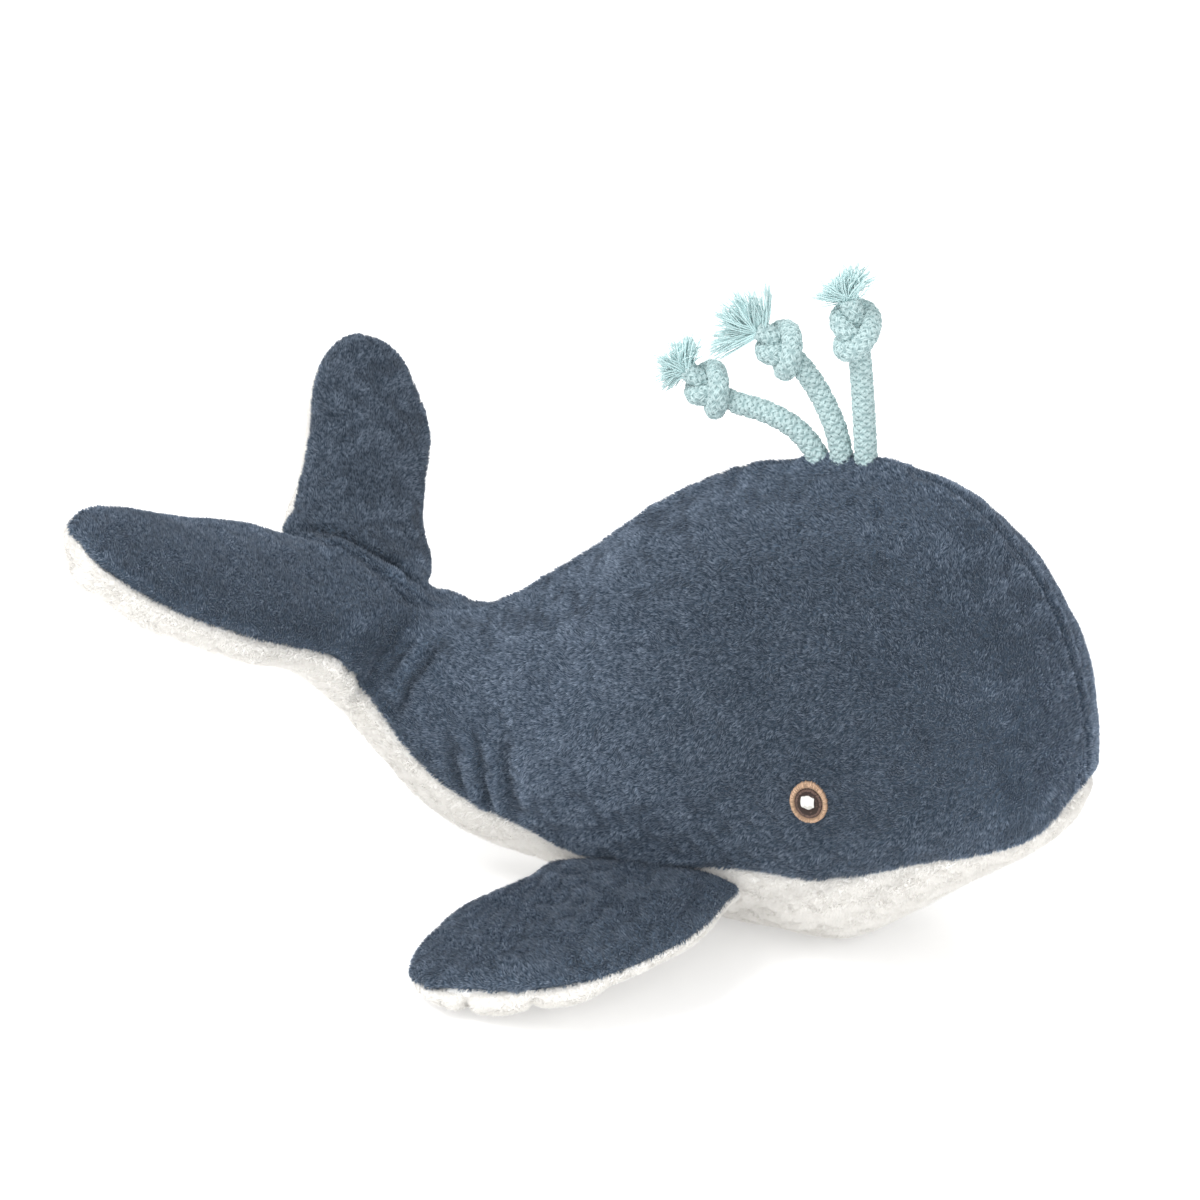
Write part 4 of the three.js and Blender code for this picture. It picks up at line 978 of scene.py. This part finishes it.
# Eyes: embroidered in satin stitch, a tan ring round a brown iris with a small white highlight
# Each is a low pad under stitches of shiny thread laid side by side, sewn through the side panel.
ring_thread = thread_material("ring_thread", (0.26, 0.17, 0.11), (0.60, 0.40, 0.27), 3400.0, 0.1)
iris_thread = thread_material("iris_thread", (0.022, 0.014, 0.012), (0.150, 0.095, 0.078), 3400.0, 0.1)
light_thread = thread_material("highlight_thread", (0.55, 0.54, 0.50), (0.88, 0.88, 0.85), 3400.0, 0.1)
eye_s, eye_angle = 7.0, math.radians(94)
ring_inside, ring_outside = np.array((0.00405, 0.00455)), np.array((0.00535, 0.00615))
iris_size = np.array((0.0041, 0.0047))
highlight_half_width, highlight_half_height, highlight_round = 0.0017, 0.0025, 0.0022
ring_bed_inside, ring_bed_outside, highlight_bed = (0.0040, 0.0045), (0.0053, 0.0061), (0.0017, 0.0020)


def eye_scale(s_step, angle_step):
    """Length of cloth for one unit of s or of the angle at the middle of the eye."""
    ends = [oval_point(np.array(eye_s + way * s_step), np.array(eye_angle + way * angle_step))
            for way in (1, -1)]
    return np.linalg.norm(ends[0] - ends[1]) / (2 * max(s_step, angle_step))


eye_step, eye_turn = eye_scale(0.1, 0), eye_scale(0, 0.01)


def on_side(forward, upward, lift, side):
    """Points over the side panel round the eye; forward and upward are lengths along the cloth."""
    s, angle = eye_s - np.asarray(forward) / eye_step, eye_angle - np.asarray(upward) / eye_turn
    p = oval_point(s, angle) + np.asarray(lift)[..., None] * oval_normal(s, angle)
    return p * (1, side, 1)


def stitches(ends, height, thickness, side, rng):
    """Threads arched over a pad from one end to the other, each pair of ends given as forward and upward."""
    parts, crowns, shades = [], [], []
    for (f0, u0), (f1, u1) in ends:
        t = np.linspace(0, 1, 9)
        arch = height * np.sin(np.pi * t) ** 0.5 * rng.uniform(0.92, 1.06) - 0.0003
        path = on_side(f0 + (f1 - f0) * t, u0 + (u1 - u0) * t, arch, side)
        v, f = tube_parts(path, thickness * rng.uniform(0.88, 1.08), 6)
        parts.append((v, f))
        # Painted shade at both ends of a stitch, where it goes into the cloth.
        crowns.append(np.repeat(0.35 + 0.65 * np.sin(np.pi * t) ** 0.7, 6))
        shades.append(np.full(len(v), rng.uniform(0.1, 0.9)))
    return parts, crowns, shades


def pad(size, inner, height, side):
    """A low closed pad under the stitches: an oval, or an oval band where inner is given."""
    around = 48
    turns = np.linspace(0, 2 * np.pi, around + 1)[:-1]
    inside = inner or (0.0001, 0.0001)
    rings = []
    for share, lift in ((0, -0.0004), (0.04, 0.35), (0.25, 0.9), (0.5, 1.0), (0.75, 0.9), (0.96, 0.35),
                        (1, -0.0004)):
        long, tall = (low + (high - low) * share for low, high in zip(inside, size))
        if inner is None and 0 < share < 0.5:
            lift = 1.0
        rings.append(on_side(long * np.cos(turns), tall * np.sin(turns),
                             np.full(around, lift if lift < 0 else height * lift), side))
    faces = []
    for i in range(len(rings)):
        here, beyond = i * around, (i + 1) % len(rings) * around
        for j in range(around):
            k = (j + 1) % around
            faces.append((here + j, here + k, beyond + k, beyond + j)[::-side])
    return np.concatenate(rings), faces


def oval_stitch(turn, skew, inner, outer):
    """Ends of a stitch across an oval band, which starts a little to one side of its end."""
    return ((inner[0] * math.cos(skew), inner[1] * math.sin(skew)),
            (outer[0] * math.cos(turn), outer[1] * math.sin(turn)))


for side_name, side in (("right", -1), ("left", 1)):
    rng = np.random.default_rng(71)
    ring_ends, iris_ends, light_ends = [], [], []
    for turn in np.linspace(0, 2 * np.pi, 97)[:-1]:
        skew = turn + rng.normal(0, 0.02)
        ring_ends.append(oval_stitch(turn, skew, ring_inside, ring_outside * rng.uniform(0.98, 1.03, 2)))
    for layer, (low, high, count) in enumerate(((0.40, 0.78, 74), (0.66, 1.0, 92))):
        for turn in np.linspace(0, 2 * np.pi, count + 1)[:-1] + 0.03 * layer:
            skew = turn + rng.normal(0, 0.05)
            a, b = low * rng.uniform(0.9, 1.1), min(high * rng.uniform(0.92, 1.05), 1.0)
            iris_ends.append(oval_stitch(turn, skew, a * iris_size, b * iris_size))
    for shift in np.linspace(-highlight_half_width, highlight_half_width, 10):
        reach = highlight_half_height * max(0.0, 1 - (shift / highlight_round) ** 2) ** 0.35
        reach *= rng.uniform(0.95, 1.04)
        light_ends.append(((shift - 0.0002, 0.0004 - reach), (shift - 0.0002, 0.0004 + reach)))
    for part_name, slot, ends, material, size, inner, height, thickness in (
            ("ring", "tan_thread", ring_ends, ring_thread, ring_bed_outside, ring_bed_inside,
             0.0009, 0.00017),
            ("iris", "brown_thread", iris_ends, iris_thread, iris_size, None, 0.0007, 0.00015),
            ("highlight", "white_thread", light_ends, light_thread, highlight_bed, None, 0.0012, 0.00022)):
        parts, crowns, shades = stitches(ends, height, thickness, side, rng)
        bed = pad(size, inner, height * 0.8, side)
        # The pad takes nearly the hollow colour: painted shade in the gaps between the stitches.
        crowns.append(np.full(len(bed[0]), 0.1))
        shades.append(np.full(len(bed[0]), 0.4))
        thread_piece(f"{side_name}_stitched_{part_name}", parts + [bed], crowns, shades, material,
                     [f"{side_name}_eye_{part_name}"], slot)

# Filling: soft lumpy polyester fibre, packed into the body, the tail, the flukes and the flippers
# Each lump is shaped like the room inside its cover, with loose fibres all over it.
wadding, tree = new_material("wadding")
coords = node(tree, "ShaderNodeTexCoord")
tufts = node(tree, "ShaderNodeTexNoise", Vector=coords.outputs["Object"], Scale=240.0, Detail=5.0,
             Roughness=0.7)
colour = mix_colours(tree, tufts.outputs["Fac"], (0.70, 0.70, 0.69), (0.94, 0.94, 0.93))
bump = node(tree, "ShaderNodeBump", Strength=0.6, Distance=0.0008, Height=tufts.outputs["Fac"])
shader = node(tree, "ShaderNodeBsdfPrincipled", Base_Color=colour, Roughness=0.9, Normal=bump.outputs[0],
              Sheen_Weight=0.3)
finish_material(tree, shader.outputs[0])
lump_grain, loose_fibre_length, loose_fibre_width, loose_fibres = 0.0022, 0.0016, 0.00016, 0.5e6


def coordinates(mesh, what):
    values = np.empty(len(mesh.vertices) * 3)
    mesh.vertices.foreach_get(what, values)
    return values.reshape(-1, 3)


for node_name, where, side_name, side in (
        ("body_stuffing", "tail", "", 1), ("tail_stuffing", "tail", "", 1),
        ("right_fluke_stuffing", "fluke", "right", -1), ("left_fluke_stuffing", "fluke", "left", 1),
        ("right_flipper_stuffing", "flipper", "right", -1), ("left_flipper_stuffing", "flipper", "left", 1)):
    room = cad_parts[node_name].data.copy()
    room.materials.clear()
    weld(room, 1e-5)
    lump = placed(node_name.replace("stuffing", "filling"), room)
    remesh = lump.modifiers.new("even", "REMESH")
    remesh.mode = "VOXEL"
    remesh.voxel_size = lump_grain
    even = apply_modifier(lump, remesh)
    points, normals = coordinates(even, "co"), coordinates(even, "normal")
    swell = 0.00010 + 0.00020 * wave_field(points, 0.012, 51)
    even.vertices.foreach_set("co", (points + swell[:, None] * normals).ravel())
    vector_attribute(lump, "nap", np.stack([wave_field(points, 0.006, k) for k in (52, 53, 54)], 1))
    float_attribute(lump, "pile", np.ones(len(points)))
    with_pile(lump, wadding, loose_fibre_length, 9, loose_fibre_width, stand=0.05, density=loose_fibres)
    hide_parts(node_name)
    bend(lump, where, side, side_name)

# Floor, backdrop and light: a broad sheet of white paper under four soft round lamps
# The paper glows a little, so that it shows white and still takes the shadow of the whale.
floor_mesh = bpy.data.meshes.new("floor")
floor_mesh.from_pydata([(-6, -6, 0), (6, -6, 0), (6, 6, 0), (-6, 6, 0)], [], [(0, 1, 2, 3)])
floor = placed("floor", floor_mesh)
floor_material, tree = new_material("white_paper")
matt = node(tree, "ShaderNodeBsdfDiffuse", Color=(0.92, 0.92, 0.92, 1))
glow = node(tree, "ShaderNodeEmission", Color=(1, 1, 1, 1), Strength=0.30)
both = node(tree, "ShaderNodeAddShader", in0=matt.outputs[0], in1=glow.outputs[0])
finish_material(tree, both.outputs[0])
floor.data.materials.append(floor_material)

world = bpy.data.worlds.new("studio")
world.use_nodes = True
world.node_tree.nodes["Background"].inputs["Color"].default_value = (1.0, 1.0, 1.0, 1)
world.node_tree.nodes["Background"].inputs["Strength"].default_value = 0.74
bpy.context.scene.world = world
lamp_aim = Vector((-0.04, 0, 0.06))
for lamp_name, place, size, power in (
        ("key", (-0.8, -0.7, 2.0), 1.4, 34.0),
        ("fill", (1.6, -1.0, 1.2), 1.6, 8.0),
        ("low", (0.2, -1.8, 0.35), 1.4, 8.0),
        ("rim", (-0.6, 1.6, 1.5), 1.2, 9.0)):
    lamp_data = bpy.data.lights.new(lamp_name, "AREA")
    lamp_data.shape = "DISK"
    lamp_data.size = size
    lamp_data.energy = power
    placed(lamp_name, lamp_data, place, lamp_aim - Vector(place))
